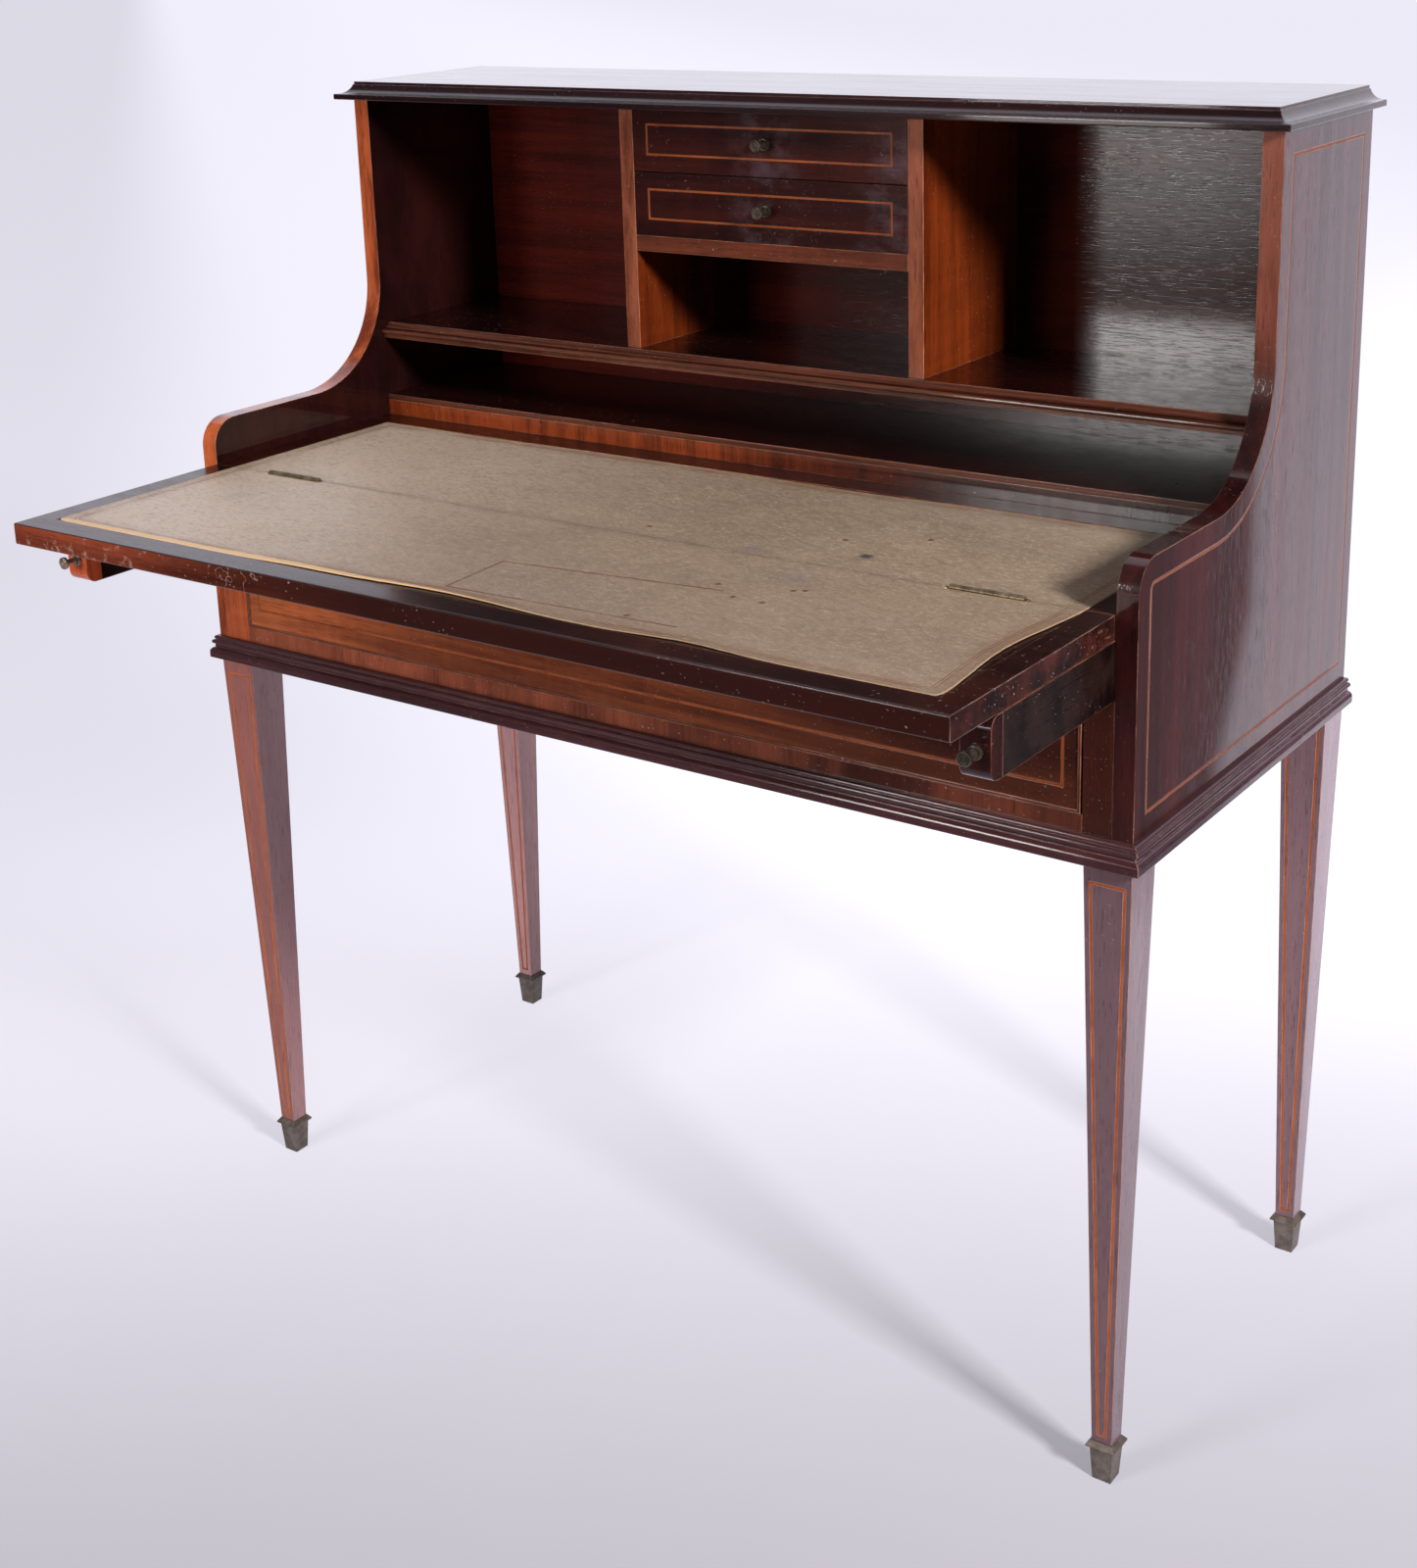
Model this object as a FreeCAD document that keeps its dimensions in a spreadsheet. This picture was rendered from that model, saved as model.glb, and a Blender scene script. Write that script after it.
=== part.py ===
import FreeCAD, Part

import math
import os
import re

import Sketcher

# A small writing desk on four tapering legs. A shallow drawer case carries a pigeonhole
# cabinet at the back and a leather-lined writing surface in two leaves. The front leaf folds
# back over the rear one, and rests on two lopers when it is down.
#
# x runs across (right is positive), y runs to the back and z runs up from the floor. Places
# back are measured from the case's front plane; front_plane then moves them, so that the
# origin lies on the floor below the middle of the whole desk with its leaf down.

SIZES = {
    # the whole desk
    "total_height": 1079.1,
    "case_width": 965,
    "case_depth": 427,
    "case_bottom": 568,
    # end panels
    "panel_thickness": 17.5,
    "shoulder_height": 783,
    "shoulder_radius": 26,
    "sweep_radius": 100,
    "panel_lead": 1.5,
    # inlaid stringing
    "string_width": 2,
    "string_depth": 1.2,
    "string_corner": 7,
    "string_inset_rear": 16,
    "string_inset_top": 20.4,
    "string_inset_bottom": 17.5,
    # top board and its moulding
    "top_thickness": 16.7,
    "top_side_overhang": 11,
    "top_front_overhang": 17.3,
    "moulding_width": 14.9,
    "lip_thickness": 5.5,
    "lip_round": 1,
    "lip_flat": 2.5,
    "quirk_step": 0.9,
    "quirk_height": 2.6,
    # back boards and shelves
    "back_thickness": 5.5,
    "riser_height": 21,
    "riser_thickness": 16,
    "lower_shelf_thickness": 5.5,
    "letter_height": 59,
    "upper_shelf_thickness": 14.8,
    "shelf_bead_radius": 2.7,
    "shelf_bead_rise": 3.6,
    "shelf_cavetto": 7.8,
    # dividers and the bay of small drawers
    "divider_thickness": 15,
    "divider_setback": 12.6,
    "centre_bay": 292,
    "small_shelf_thickness": 14.8,
    "pigeonhole_share": 0.41,
    "small_front_thickness": 15,
    "small_side_thickness": 7,
    "small_bottom_thickness": 4,
    "small_bottom_rise": 5,
    "small_box_spare": 15.9,
    "small_box_drop": 5.5,
    "small_back_drop": 4,
    "small_runner_width": 8,
    "small_runner_thickness": 5,
    # writing leaves
    "writing_height": 742,
    "leaf_thickness": 19,
    "leaf_depth": 238.5,
    "leaf_side_gap": 1,
    "leaf_arris": 1.5,
    "joint_gap": 0.5,
    "fold_clearance": 1.5,
    "leather_side_margin": 24,
    "leather_front_margin": 27,
    "leather_rear_margin": 30,
    "leather_thickness": 1,
    "leather_gap": 0.3,
    # hinges between the leaves
    "hinge_spacing": 722,
    "hinge_length": 63,
    "hinge_axis_rise": 0.5,
    "knuckle_radius": 2.5,
    "knuckle_gap": 0.3,
    "hinge_notch_gap": 0.7,
    "leather_notch_gap": 2.5,
    "plate_depth": 17,
    "plate_thickness": 1.8,
    "pin_radius": 1,
    "pin_gap": 0.05,
    "screw_pitch": 22,
    "screw_head_radius": 2.3,
    "screw_radius": 1.2,
    "screw_head_length": 1.1,
    "screw_length": 11,
    "screw_gap": 0.05,
    # drawer case front and inside
    "bottom_rail_height": 15,
    "frieze_front_thickness": 20,
    "dust_board_thickness": 12,
    "loper_bay": 25,
    "stile_setback": 1,
    "partition_thickness": 6,
    "drawer_runner_width": 30,
    # lopers
    "loper_side_gap": 0.5,
    "loper_height": 46.7,
    "loper_reach": 184.5,
    "loper_hidden_length": 170.5,
    "facing_thickness": 16,
    "facing_round": 9.5,
    "loper_knob_rise": 21,
    "peg_radius": 2.5,
    "peg_reach": 3.9,
    "peg_place": 150,
    "peg_rise": 23,
    "peg_groove_gap": 0.5,
    "peg_groove_spare": 1.1,
    # frieze drawer
    "frieze_side_thickness": 10,
    "frieze_bottom_thickness": 6,
    "frieze_bottom_rise": 8,
    "frieze_box_spare": 26.5,
    "frieze_box_drop": 0.5,
    "frieze_back_drop": 8,
    "frieze_string_inset": 14.2,
    "frieze_string_rise": 18,
    "frieze_knob_spacing": 500,
    "cockbead_width": 2.4,
    "cockbead_depth": 7,
    "cockbead_proud": 0.8,
    # drawer fits
    "running_gap": 0.3,
    "drawer_gap": 0.9,
    "front_side_gap": 0.5,
    "box_side_gap": 0.6,
    "groove_depth": 3,
    "groove_gap": 0.2,
    # knobs
    "knob_radius": 5.6,
    "knob_reach": 16.5,
    "knob_head": 3.6,
    "knob_rim": 0.7,
    "ring_width": 1.3,
    "ring_height": 0.6,
    "ring_sink": 0.25,
    "neck_radius": 2.4,
    "rosette_radius": 6,
    "rosette_edge": 1,
    "rosette_round": 1.4,
    "stem_radius": 2,
    "stem_length": 11,
    "stem_gap": 0.05,
    # base moulding and underframe
    "base_height": 22,
    "bead_radius": 2,
    "bead_out": 4.5,
    "second_bead_radius": 2.2,
    "second_bead_out": 6.5,
    "neck_height": 3.2,
    "torus_radius": 4.8,
    "torus_out": 8.4,
    "base_arris": 0.8,
    "underframe_width": 60,
    # legs and sabots
    "leg_size": 40,
    "leg_foot": 17.6,
    "leg_string_inset": 4.6,
    "leg_string_top": 15,
    "leg_string_foot": 6,
    "tenon_size": 22,
    "tenon_height": 16,
    "tenon_gap": 0.1,
    "stub_size": 12,
    "sabot_height": 36.6,
    "sabot_floor": 16,
    "sabot_neck": 20,
    "sabot_flange": 25.4,
    "sabot_rim": 19,
    "sabot_cup_height": 31.2,
    "flange_edge": 1.4,
    "sabot_sole": 8,
}

PLACES = {
    # planes of the case
    "front_plane": "(leaf_depth - case_depth) / 2",
    "half_width": "case_width / 2",
    "inner_face": "half_width - panel_thickness",
    "back_face": "case_depth - back_thickness",
    "base_bottom": "case_bottom - base_height",
    "leaf_bottom": "writing_height - leaf_thickness",
    "riser_face": "leaf_depth + fold_clearance",
    "upper_front": "riser_face - panel_lead",
    "divider_front": "riser_face + divider_setback",
    "top_underside": "total_height - top_thickness",
    # stringing on the end panels
    "string_inset_front": "shoulder_radius - string_corner",
    # moulding of the top board
    "top_side": "half_width + top_side_overhang",
    "top_front": "upper_front - top_front_overhang",
    "lip_top": "top_underside + lip_thickness",
    "quirk_bottom": "total_height - quirk_height",
    "cavetto_run": "moulding_width - quirk_step - lip_flat",
    "cavetto_rise": "quirk_bottom - lip_top",
    "cavetto_radius": "(cavetto_run * cavetto_run + cavetto_rise * cavetto_rise) / (2 * cavetto_rise)",
    # shelves
    "lower_shelf_top": "writing_height + riser_height",
    "upper_shelf_bottom": "lower_shelf_top + letter_height",
    "upper_shelf_top": "upper_shelf_bottom + upper_shelf_thickness",
    "shelf_bead_top": "upper_shelf_bottom + shelf_bead_rise + 2 * shelf_bead_radius",
    "half_bay": "centre_bay / 2",
    # small drawers
    "cabinet_height": "top_underside - upper_shelf_top",
    "small_shelf_top": "upper_shelf_top + pigeonhole_share * cabinet_height + small_shelf_thickness",
    "small_front_height": "(top_underside - small_shelf_top - running_gap) / 2 - drawer_gap",
    "small_string_inset": "small_front_height / 4",
    "upper_small_high": "top_underside - drawer_gap",
    "upper_small_low": "upper_small_high - small_front_height",
    "lower_small_high": "upper_small_low - drawer_gap",
    "lower_small_low": "lower_small_high - small_front_height",
    "small_half": "half_bay - box_side_gap",
    "small_box_half": "small_half",
    "small_front": "divider_front",
    # hinges
    "joint_face": "joint_gap / 2",
    "hinge_height": "writing_height + hinge_axis_rise",
    "plate_inside": "joint_face + plate_thickness",
    "plate_bottom": "hinge_height - plate_depth",
    "notch_radius": "knuckle_radius + hinge_notch_gap",
    "segment_length": "hinge_length / 5",
    # leather
    "leather_half": "inner_face - leather_side_margin",
    "leather_bed": "writing_height - leather_thickness",
    "leather_rear": "riser_face - leather_rear_margin",
    "leather_front": "leaf_depth - leather_front_margin",
    # drawer case
    "rail_top": "case_bottom + bottom_rail_height",
    "dust_board_top": "case_bottom + dust_board_thickness",
    "partition_outer": "inner_face - loper_bay",
    "partition_inner": "partition_outer - partition_thickness",
    "loper_top": "leaf_bottom - running_gap",
    "loper_bottom": "loper_top - loper_height",
    "bearer_top": "loper_bottom - running_gap",
    # lopers
    "loper_inner": "partition_outer + loper_side_gap",
    "loper_outer": "inner_face - loper_side_gap",
    "peg_height": "loper_bottom + peg_rise",
    # frieze drawer
    "frieze_high": "leaf_bottom - running_gap",
    "frieze_low": "rail_top + front_side_gap",
    "frieze_half": "partition_outer - front_side_gap",
    "frieze_box_half": "partition_inner - box_side_gap",
    "frieze_runner_top": "frieze_low - running_gap",
    # base moulding
    "bead_bottom": "case_bottom - 2 * bead_radius",
    "second_bead_bottom": "bead_bottom - 2 * second_bead_radius",
    "torus_top": "second_bead_bottom - neck_height",
    # legs
    "leg_centre": "half_width - leg_size / 2",
    "leg_front": "leg_size / 2",
    "leg_rear": "case_depth - leg_size / 2",
    "leg_slope": "(leg_size - leg_foot) / 2 / (base_bottom - sabot_height)",
    "leg_string_low": "sabot_height + leg_string_foot",
    "leg_string_high": "base_bottom - leg_string_top",
}

# where each hinge plate lies, and where and which way its screws start
PLATE_SPANS = {
    "rear": ("joint_face", "plate_inside"),
    "front": ("-plate_inside", "-joint_face"),
}
SCREW_STARTS = {
    "rear": ("back", "joint_face"),
    "front": ("forward", "-joint_face"),
}

NAME = re.compile(r"[a-z][a-z_]*")
TURNS = {
    "across": FreeCAD.Rotation(FreeCAD.Vector(0, 1, 0), 90),
    "back": FreeCAD.Rotation(FreeCAD.Vector(1, 0, 0), -90),
    "forward": FreeCAD.Rotation(FreeCAD.Vector(1, 0, 0), 90),
}

document = FreeCAD.newDocument("BonheurDuJour")
sheet = document.addObject("Spreadsheet::Sheet", "Sizes")
sub_parts = []


# ---------------------------------------------------------------- sizes and formulas

def fill_sheet():
    """Write every size into the sheet, with its name beside it and as its alias."""
    for row, (name, size) in enumerate(SIZES.items(), start=1):
        sheet.set(f"A{row}", name)
        sheet.set(f"B{row}", str(size))
        sheet.setAlias(f"B{row}", name)
    document.recompute()


def formula(text):
    """Turn a formula of size and place names into an expression on the sheet."""
    def full(match):
        name = match.group()
        if name in PLACES:
            return f"({formula(PLACES[name])})"
        return f"Sizes.{name}"
    return NAME.sub(full, text)


def value(text):
    """Work a formula out now."""
    return float(sheet.evalExpression(formula(text)))


def bind(thing, prop, text):
    """Tie a property of a thing to a formula."""
    thing.setExpression(prop, formula(text))


def place(thing, across, back, up):
    """Put a thing at a place from the middle, the case's front plane and the floor."""
    bind(thing, "Placement.Base.x", across)
    bind(thing, "Placement.Base.y", f"front_plane + ({back})")
    bind(thing, "Placement.Base.z", up)
    return thing


# ---------------------------------------------------------------- plain shapes

def block(name, across, back, up):
    """Make a board between a low and a high place each way."""
    board = document.addObject("Part::Box", name)
    bind(board, "Length", f"({across[1]}) - ({across[0]})")
    bind(board, "Width", f"({back[1]}) - ({back[0]})")
    bind(board, "Height", f"({up[1]}) - ({up[0]})")
    return place(board, across[0], back[0], up[0])


def rod(name, direction, radius, length, start):
    """Make a round rod that starts at a place and runs in one direction."""
    bar = document.addObject("Part::Cylinder", name)
    bar.Placement.Rotation = TURNS[direction]
    bind(bar, "Radius", radius)
    bind(bar, "Height", length)
    return place(bar, *start)


def cone(name, direction, radii, length, start):
    """Make a cone that starts at a place and runs in one direction."""
    bar = document.addObject("Part::Cone", name)
    bar.Placement.Rotation = TURNS[direction]
    bind(bar, "Radius1", radii[0])
    bind(bar, "Radius2", radii[1])
    bind(bar, "Height", length)
    return place(bar, *start)


def taper(name, centre, low, high):
    """Make an upright taper from (height, width, depth) at its foot to the same at its head."""
    wedge = document.addObject("Part::Wedge", name)
    wedge.Placement.Rotation = TURNS["forward"]
    for mark, (height, width, depth) in (("", low), ("2", high)):
        bind(wedge, f"X{mark}min", f"-({width}) / 2")
        bind(wedge, f"X{mark}max", f"({width}) / 2")
        bind(wedge, f"Z{mark}min", f"-({depth}) / 2")
        bind(wedge, f"Z{mark}max", f"({depth}) / 2")
        bind(wedge, "Ymax" if mark else "Ymin", height)
    return place(wedge, centre[0], centre[1], "0")


def joined(name, *pieces):
    """Glue pieces into one."""
    whole = document.addObject("Part::MultiFuse", name)
    whole.Shapes = list(pieces)
    whole.Refine = True
    return whole


def group(name, *pieces):
    """Keep separate pieces under one name."""
    whole = document.addObject("Part::Compound", name)
    whole.Links = list(pieces)
    return whole


def cut(name, base, *tools):
    """Cut tools out of a base."""
    rest = document.addObject("Part::Cut", name)
    rest.Base = base
    rest.Tool = tools[0] if len(tools) == 1 else joined(f"{name}_cutters", *tools)
    return rest


def common(name, first, second):
    """Keep what two pieces share."""
    shared = document.addObject("Part::Common", name)
    shared.Base = first
    shared.Tool = second
    return shared


def mirrored(name, source):
    """Make the left-hand copy of a right-hand piece."""
    copy = document.addObject("Part::Mirroring", name)
    copy.Source = source
    copy.Normal = FreeCAD.Vector(1, 0, 0)
    return copy


def keep(label, piece):
    """Count a piece as a finished sub-part under its own label."""
    piece.Label = label
    sub_parts.append(piece)
    return piece


# ---------------------------------------------------------------- sketched shapes

def new_body(name, across="0", back="0", up="0"):
    """Start a body at a place."""
    return place(document.addObject("PartDesign::Body", name), across, back, up)


def sketch_on(body, role, offset=None):
    """Start a sketch on one of the body's own planes, or at an offset from it."""
    sketch = body.newObject("Sketcher::SketchObject", f"{body.Name}_sketch")
    planes = [plane for plane in body.Origin.OriginFeatures if plane.Role == role]
    sketch.AttachmentSupport = (planes[0], "")
    sketch.MapMode = "FlatFace"
    if offset:
        bind(sketch, "AttachmentOffset.Base.z", offset)
    return sketch


def hold(sketch, kind, geometry, end, text):
    """Hold one point of a sketch at a formula's distance from the sketch's origin."""
    index = sketch.addConstraint(Sketcher.Constraint(kind, geometry, end, value(text)))
    sketch.renameConstraint(index, f"{kind}_{geometry}_{end}")
    bind(sketch, f"Constraints.{kind}_{geometry}_{end}", text)


def draw(sketch, corners):
    """Draw a closed outline. A corner is (along, up); an arc that ends there adds its centre."""
    points = [FreeCAD.Vector(value(corner[0]), value(corner[1]), 0) for corner in corners]
    ends = []
    for index, corner in enumerate(corners):
        start, end = points[index - 1], points[index]
        if len(corner) == 2:
            geometry = sketch.addGeometry(Part.LineSegment(start, end))
            ends.append((geometry, 1, 2))
            continue
        centre = FreeCAD.Vector(value(corner[2]), value(corner[3]), 0)
        first = math.atan2(start.y - centre.y, start.x - centre.x)
        last = math.atan2(end.y - centre.y, end.x - centre.x)
        clockwise = (last - first) % (2 * math.pi) > math.pi
        if clockwise:
            first, last = last, first
        circle = Part.Circle(centre, FreeCAD.Vector(0, 0, 1), centre.distanceToPoint(start))
        geometry = sketch.addGeometry(Part.ArcOfCircle(circle, first, last))
        ends.append((geometry, 2, 1) if clockwise else (geometry, 1, 2))
        if abs(end.y - start.y) >= abs(end.x - start.x):
            hold(sketch, "DistanceX", geometry, 3, corner[2])
        else:
            hold(sketch, "DistanceY", geometry, 3, corner[3])
    for index, corner in enumerate(corners):
        geometry, begin, finish = ends[index]
        before = ends[index - 1]
        sketch.addConstraint(Sketcher.Constraint("Coincident", before[0], before[2], geometry, begin))
        hold(sketch, "DistanceX", geometry, finish, corner[0])
        hold(sketch, "DistanceY", geometry, finish, corner[1])


def pad(body, sketch, length, middle=False, backwards=False):
    """Give a sketch its thickness."""
    solid = body.newObject("PartDesign::Pad", f"{body.Name}_pad")
    solid.Profile = sketch
    solid.Midplane = middle
    solid.Reversed = backwards
    bind(solid, "Length", length)
    return body


def pocket(body, sketch, depth):
    """Sink a sketch into its body."""
    hollow = body.newObject("PartDesign::Pocket", f"{body.Name}_pocket")
    hollow.Profile = sketch
    bind(hollow, "Length", depth)
    return body


def turned_round(corners):
    """List the corners of an outline the other way round, with their arcs."""
    backwards = [corners[-1][:2]]
    for before, after in zip(corners[-2::-1], corners[:0:-1]):
        backwards.append(before[:2] + after[2:])
    return backwards


# ---------------------------------------------------------------- case

def string_outline(step):
    """Corners of the panel's inlay line, a step further in than its outer edge."""
    inset = f"(string_inset_front + {step})"
    low = f"case_bottom + string_inset_bottom + {step}"
    high = f"top_underside - string_inset_top - {step}"
    rear = f"case_depth - string_inset_rear - {step}"
    sweep_foot = "upper_front - sweep_radius"
    sweep_head = "shoulder_height + sweep_radius"
    return [
        (inset, low),
        (inset, "shoulder_height - shoulder_radius"),
        ("shoulder_radius", f"shoulder_height - {inset}",
         "shoulder_radius", "shoulder_height - shoulder_radius"),
        (sweep_foot, f"shoulder_height - {inset}"),
        (f"upper_front + {inset}", sweep_head, sweep_foot, sweep_head),
        (f"upper_front + {inset}", high),
        (rear, high),
        (rear, low),
    ]


def draw_string(sketch):
    """Draw both edges of the panel's inlay line."""
    draw(sketch, string_outline("0"))
    draw(sketch, string_outline("string_width"))


def end_panels():
    """End panels: a rounded shoulder at the front, then a sweep up to the cabinet."""
    panel = new_body("end_panel_right", across="inner_face")
    face = sketch_on(panel, "YZ_Plane")
    draw(face, [
        ("0", "case_bottom"),
        ("0", "shoulder_height - shoulder_radius"),
        ("shoulder_radius", "shoulder_height",
         "shoulder_radius", "shoulder_height - shoulder_radius"),
        ("upper_front - sweep_radius", "shoulder_height"),
        ("upper_front", "shoulder_height + sweep_radius",
         "upper_front - sweep_radius", "shoulder_height + sweep_radius"),
        ("upper_front", "top_underside"),
        ("case_depth", "top_underside"),
        ("case_depth", "case_bottom"),
    ])
    pad(panel, face, "panel_thickness")
    groove = sketch_on(panel, "YZ_Plane", offset="panel_thickness")
    draw_string(groove)
    pocket(panel, groove, "string_depth")
    keep("end_panel_right", panel)
    keep("end_panel_left", mirrored("end_panel_left", panel))


def panel_stringing():
    """The pale line let flush into each end panel's outer face."""
    line = new_body("panel_string_right", across="half_width - string_depth")
    loops = sketch_on(line, "YZ_Plane")
    draw_string(loops)
    pad(line, loops, "string_depth")
    keep("panel_stringing", group("panel_strings", line, mirrored("panel_string_left", line)))


def moulded_edge(at):
    """Corners of the top board's moulded edge, from its underside up; at() places an inset."""
    return [
        (at("lip_round"), "top_underside"),
        (at("0"), "top_underside + lip_round", at("lip_round"), "top_underside + lip_round"),
        (at("0"), "lip_top - lip_round"),
        (at("lip_round"), "lip_top", at("lip_round"), "lip_top - lip_round"),
        (at("lip_flat"), "lip_top"),
        (at("lip_flat + cavetto_run"), "quirk_bottom", at("lip_flat"), "lip_top + cavetto_radius"),
        (at("moulding_width"), "quirk_bottom"),
        (at("moulding_width"), "total_height"),
    ]


def top_board():
    """Top board: a lip, a cavetto and a quirk round its front and ends, and a plain rear edge."""
    front = new_body("top_front_to_back")
    profile = sketch_on(front, "YZ_Plane")
    rear = [("case_depth", "total_height"), ("case_depth", "top_underside")]
    draw(profile, moulded_edge(lambda inset: f"top_front + {inset}") + rear)
    pad(front, profile, "2 * top_side", middle=True)
    ends = new_body("top_side_to_side")
    outline = sketch_on(ends, "XZ_Plane")
    right = moulded_edge(lambda inset: f"top_side - ({inset})")
    left = moulded_edge(lambda inset: f"({inset}) - top_side")
    draw(outline, right + turned_round(left))
    pad(ends, outline, "case_depth", backwards=True)
    keep("top_board", common("top_board", front, ends))


def upper_shelf():
    """Shelf under the pigeonholes, with a bead and a small cavetto along its front."""
    shelf = new_body("upper_shelf")
    profile = sketch_on(shelf, "YZ_Plane")
    bead_middle = "upper_shelf_bottom + shelf_bead_rise + shelf_bead_radius"
    draw(profile, [
        ("riser_face", "upper_shelf_bottom"),
        ("riser_face", "upper_shelf_bottom + shelf_bead_rise"),
        ("riser_face - shelf_bead_radius", bead_middle, "riser_face", bead_middle),
        ("riser_face", "shelf_bead_top", "riser_face", bead_middle),
        ("riser_face + shelf_cavetto", "upper_shelf_top",
         "riser_face", "upper_shelf_top + shelf_cavetto / 2"),
        ("back_face", "upper_shelf_top"),
        ("back_face", "upper_shelf_bottom"),
    ])
    pad(shelf, profile, "2 * inner_face", middle=True)
    keep("upper_shelf", shelf)


def cabinet():
    """Boards of the cabinet: its backs, lower shelf, riser, dividers and drawer shelf."""
    full = ("-inner_face", "inner_face")
    bay = ("-half_bay", "half_bay")
    back = ("back_face", "case_depth")
    keep("upper_back", block("upper_back", full, back, ("writing_height", "top_underside")))
    keep("lower_back", block("lower_back", full, back, ("case_bottom", "writing_height")))
    shelf_bottom = "lower_shelf_top - lower_shelf_thickness"
    keep("lower_shelf", block("lower_shelf", full, ("riser_face", "back_face"),
                              (shelf_bottom, "lower_shelf_top")))
    keep("riser_rail", block("riser_rail", full, ("riser_face", "riser_face + riser_thickness"),
                             ("writing_height", shelf_bottom)))
    deep = ("divider_front", "back_face")
    divider = block("divider_right", ("half_bay", "half_bay + divider_thickness"), deep,
                    ("upper_shelf_top", "top_underside"))
    keep("divider_right", divider)
    keep("divider_left", mirrored("divider_left", divider))
    keep("small_drawer_shelf", block("small_drawer_shelf", bay, deep,
                                     ("small_shelf_top - small_shelf_thickness", "small_shelf_top")))
    runner = block("small_runner_right", ("half_bay - small_runner_width", "half_bay"),
                   ("small_front + small_front_thickness + drawer_gap", "back_face"),
                   ("upper_small_low - running_gap - small_runner_thickness",
                    "upper_small_low - running_gap"))
    keep("small_drawer_runners", group("small_runners", runner,
                                       mirrored("small_runner_left", runner)))


def drawer_case():
    """The case below the writing surface: rail, stiles, dust board, guides and partitions."""
    stile_inner = "partition_outer + stile_setback"
    stile = block("stile_right", (stile_inner, "inner_face"),
                  ("0", "frieze_front_thickness"), ("case_bottom", "bearer_top"))
    keep("front_stiles", group("stiles", stile, mirrored("stile_left", stile)))
    keep("bottom_rail", block("bottom_rail", (f"-({stile_inner})", stile_inner),
                              ("0", "frieze_front_thickness"), ("case_bottom", "rail_top")))
    deep = ("frieze_front_thickness", "back_face")
    keep("dust_board", block("dust_board", ("-inner_face", "inner_face"), deep,
                             ("case_bottom", "dust_board_top")))
    bearer = block("bearer_right", ("partition_outer", "inner_face"), deep,
                   ("dust_board_top", "bearer_top"))
    runner = block("frieze_runner_right", ("partition_inner - drawer_runner_width", "partition_inner"),
                   ("frieze_front_thickness + running_gap", "back_face"),
                   ("dust_board_top", "frieze_runner_top"))
    keep("drawer_guides", group("guides", bearer, runner, mirrored("bearer_left", bearer),
                                mirrored("frieze_runner_left", runner)))
    board = block("partition_board", ("partition_inner", "partition_outer"),
                  ("frieze_front_thickness + running_gap", "back_face"), ("dust_board_top", "leaf_bottom"))
    hole = rod("peg_hole", "across", "peg_radius + stem_gap", "partition_thickness",
               ("partition_inner", "peg_place", "peg_height"))
    partition = cut("partition_right", board, hole)
    keep("loper_partitions", group("partitions", partition, mirrored("partition_left", partition)))
    peg = rod("peg_right", "across", "peg_radius", "partition_thickness + peg_reach",
              ("partition_inner", "peg_place", "peg_height"))
    keep("loper_stops", group("pegs", peg, mirrored("peg_left", peg)))


# ---------------------------------------------------------------- writing leaves and hinges

def hinge_span(extra):
    """Ends of the right-hand hinge, with a little to spare at each."""
    reach = f"(hinge_length / 2 + {extra})"
    return (f"hinge_spacing / 2 - {reach}", f"hinge_spacing / 2 + {reach}")


def hinge_beds(side):
    """What both hinges take out of a leaf: beds for their plates, knuckles and screws."""
    low, high = hinge_span("knuckle_gap")
    bed = block(f"{side}_bed", (low, high), PLATE_SPANS[side], ("plate_bottom", "hinge_height"))
    notch = rod(f"{side}_notch", "across", "notch_radius", f"({high}) - ({low})",
                (low, "0", "hinge_height"))
    holes = screws(side, f"{side}_leaf_hole", "screw_gap")
    right = joined(f"{side}_beds_right", bed, notch, *holes)
    return right, mirrored(f"{side}_beds_left", right)


def screws(side, name, extra):
    """Three countersunk screws along a right-hand plate, or the holes for them."""
    direction, face = SCREW_STARTS[side]
    made = []
    for count in (-1, 0, 1):
        start = (f"hinge_spacing / 2 + {count} * screw_pitch", face, "hinge_height - plate_depth / 2")
        body = f"screw_radius + {extra}"
        head = cone(f"{name}_head_{count + 2}", direction, (f"screw_head_radius + {extra}", body),
                    "screw_head_length", start)
        shank = rod(f"{name}_shank_{count + 2}", direction, body, "screw_length", start)
        made.append(joined(f"{name}_{count + 2}", head, shank))
    return made


def hinge_plate(side, knuckles):
    """A right-hand hinge plate with its share of the five knuckles."""
    name = f"{side}_plate"
    low, high = hinge_span("0")
    bore = rod(f"{name}_bore", "across", "pin_radius + pin_gap", "hinge_length",
               (low, "0", "hinge_height"))
    pieces = [block(f"{name}_flat", (low, high), PLATE_SPANS[side], ("plate_bottom", "hinge_height"))]
    gaps = [bore]
    for count in range(5):
        start = f"{low} + {count} * segment_length"
        if count in knuckles:
            inset = "knuckle_gap / 2"
            pieces.append(rod(f"{name}_knuckle_{count + 1}", "across", "knuckle_radius",
                              f"segment_length - 2 * {inset}",
                              (f"{start} + {inset}", "0", "hinge_height")))
        else:
            inset = "-knuckle_gap / 2"
            gaps.append(rod(f"{name}_gap_{count + 1}", "across", "knuckle_radius + knuckle_gap",
                            f"segment_length - 2 * ({inset})",
                            (f"{start} + {inset}", "0", "hinge_height")))
    whole = joined(f"{name}_whole", *pieces)
    return cut(f"{name}_right", whole, *gaps, *screws(side, f"{name}_screw_hole", "screw_gap"))


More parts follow.
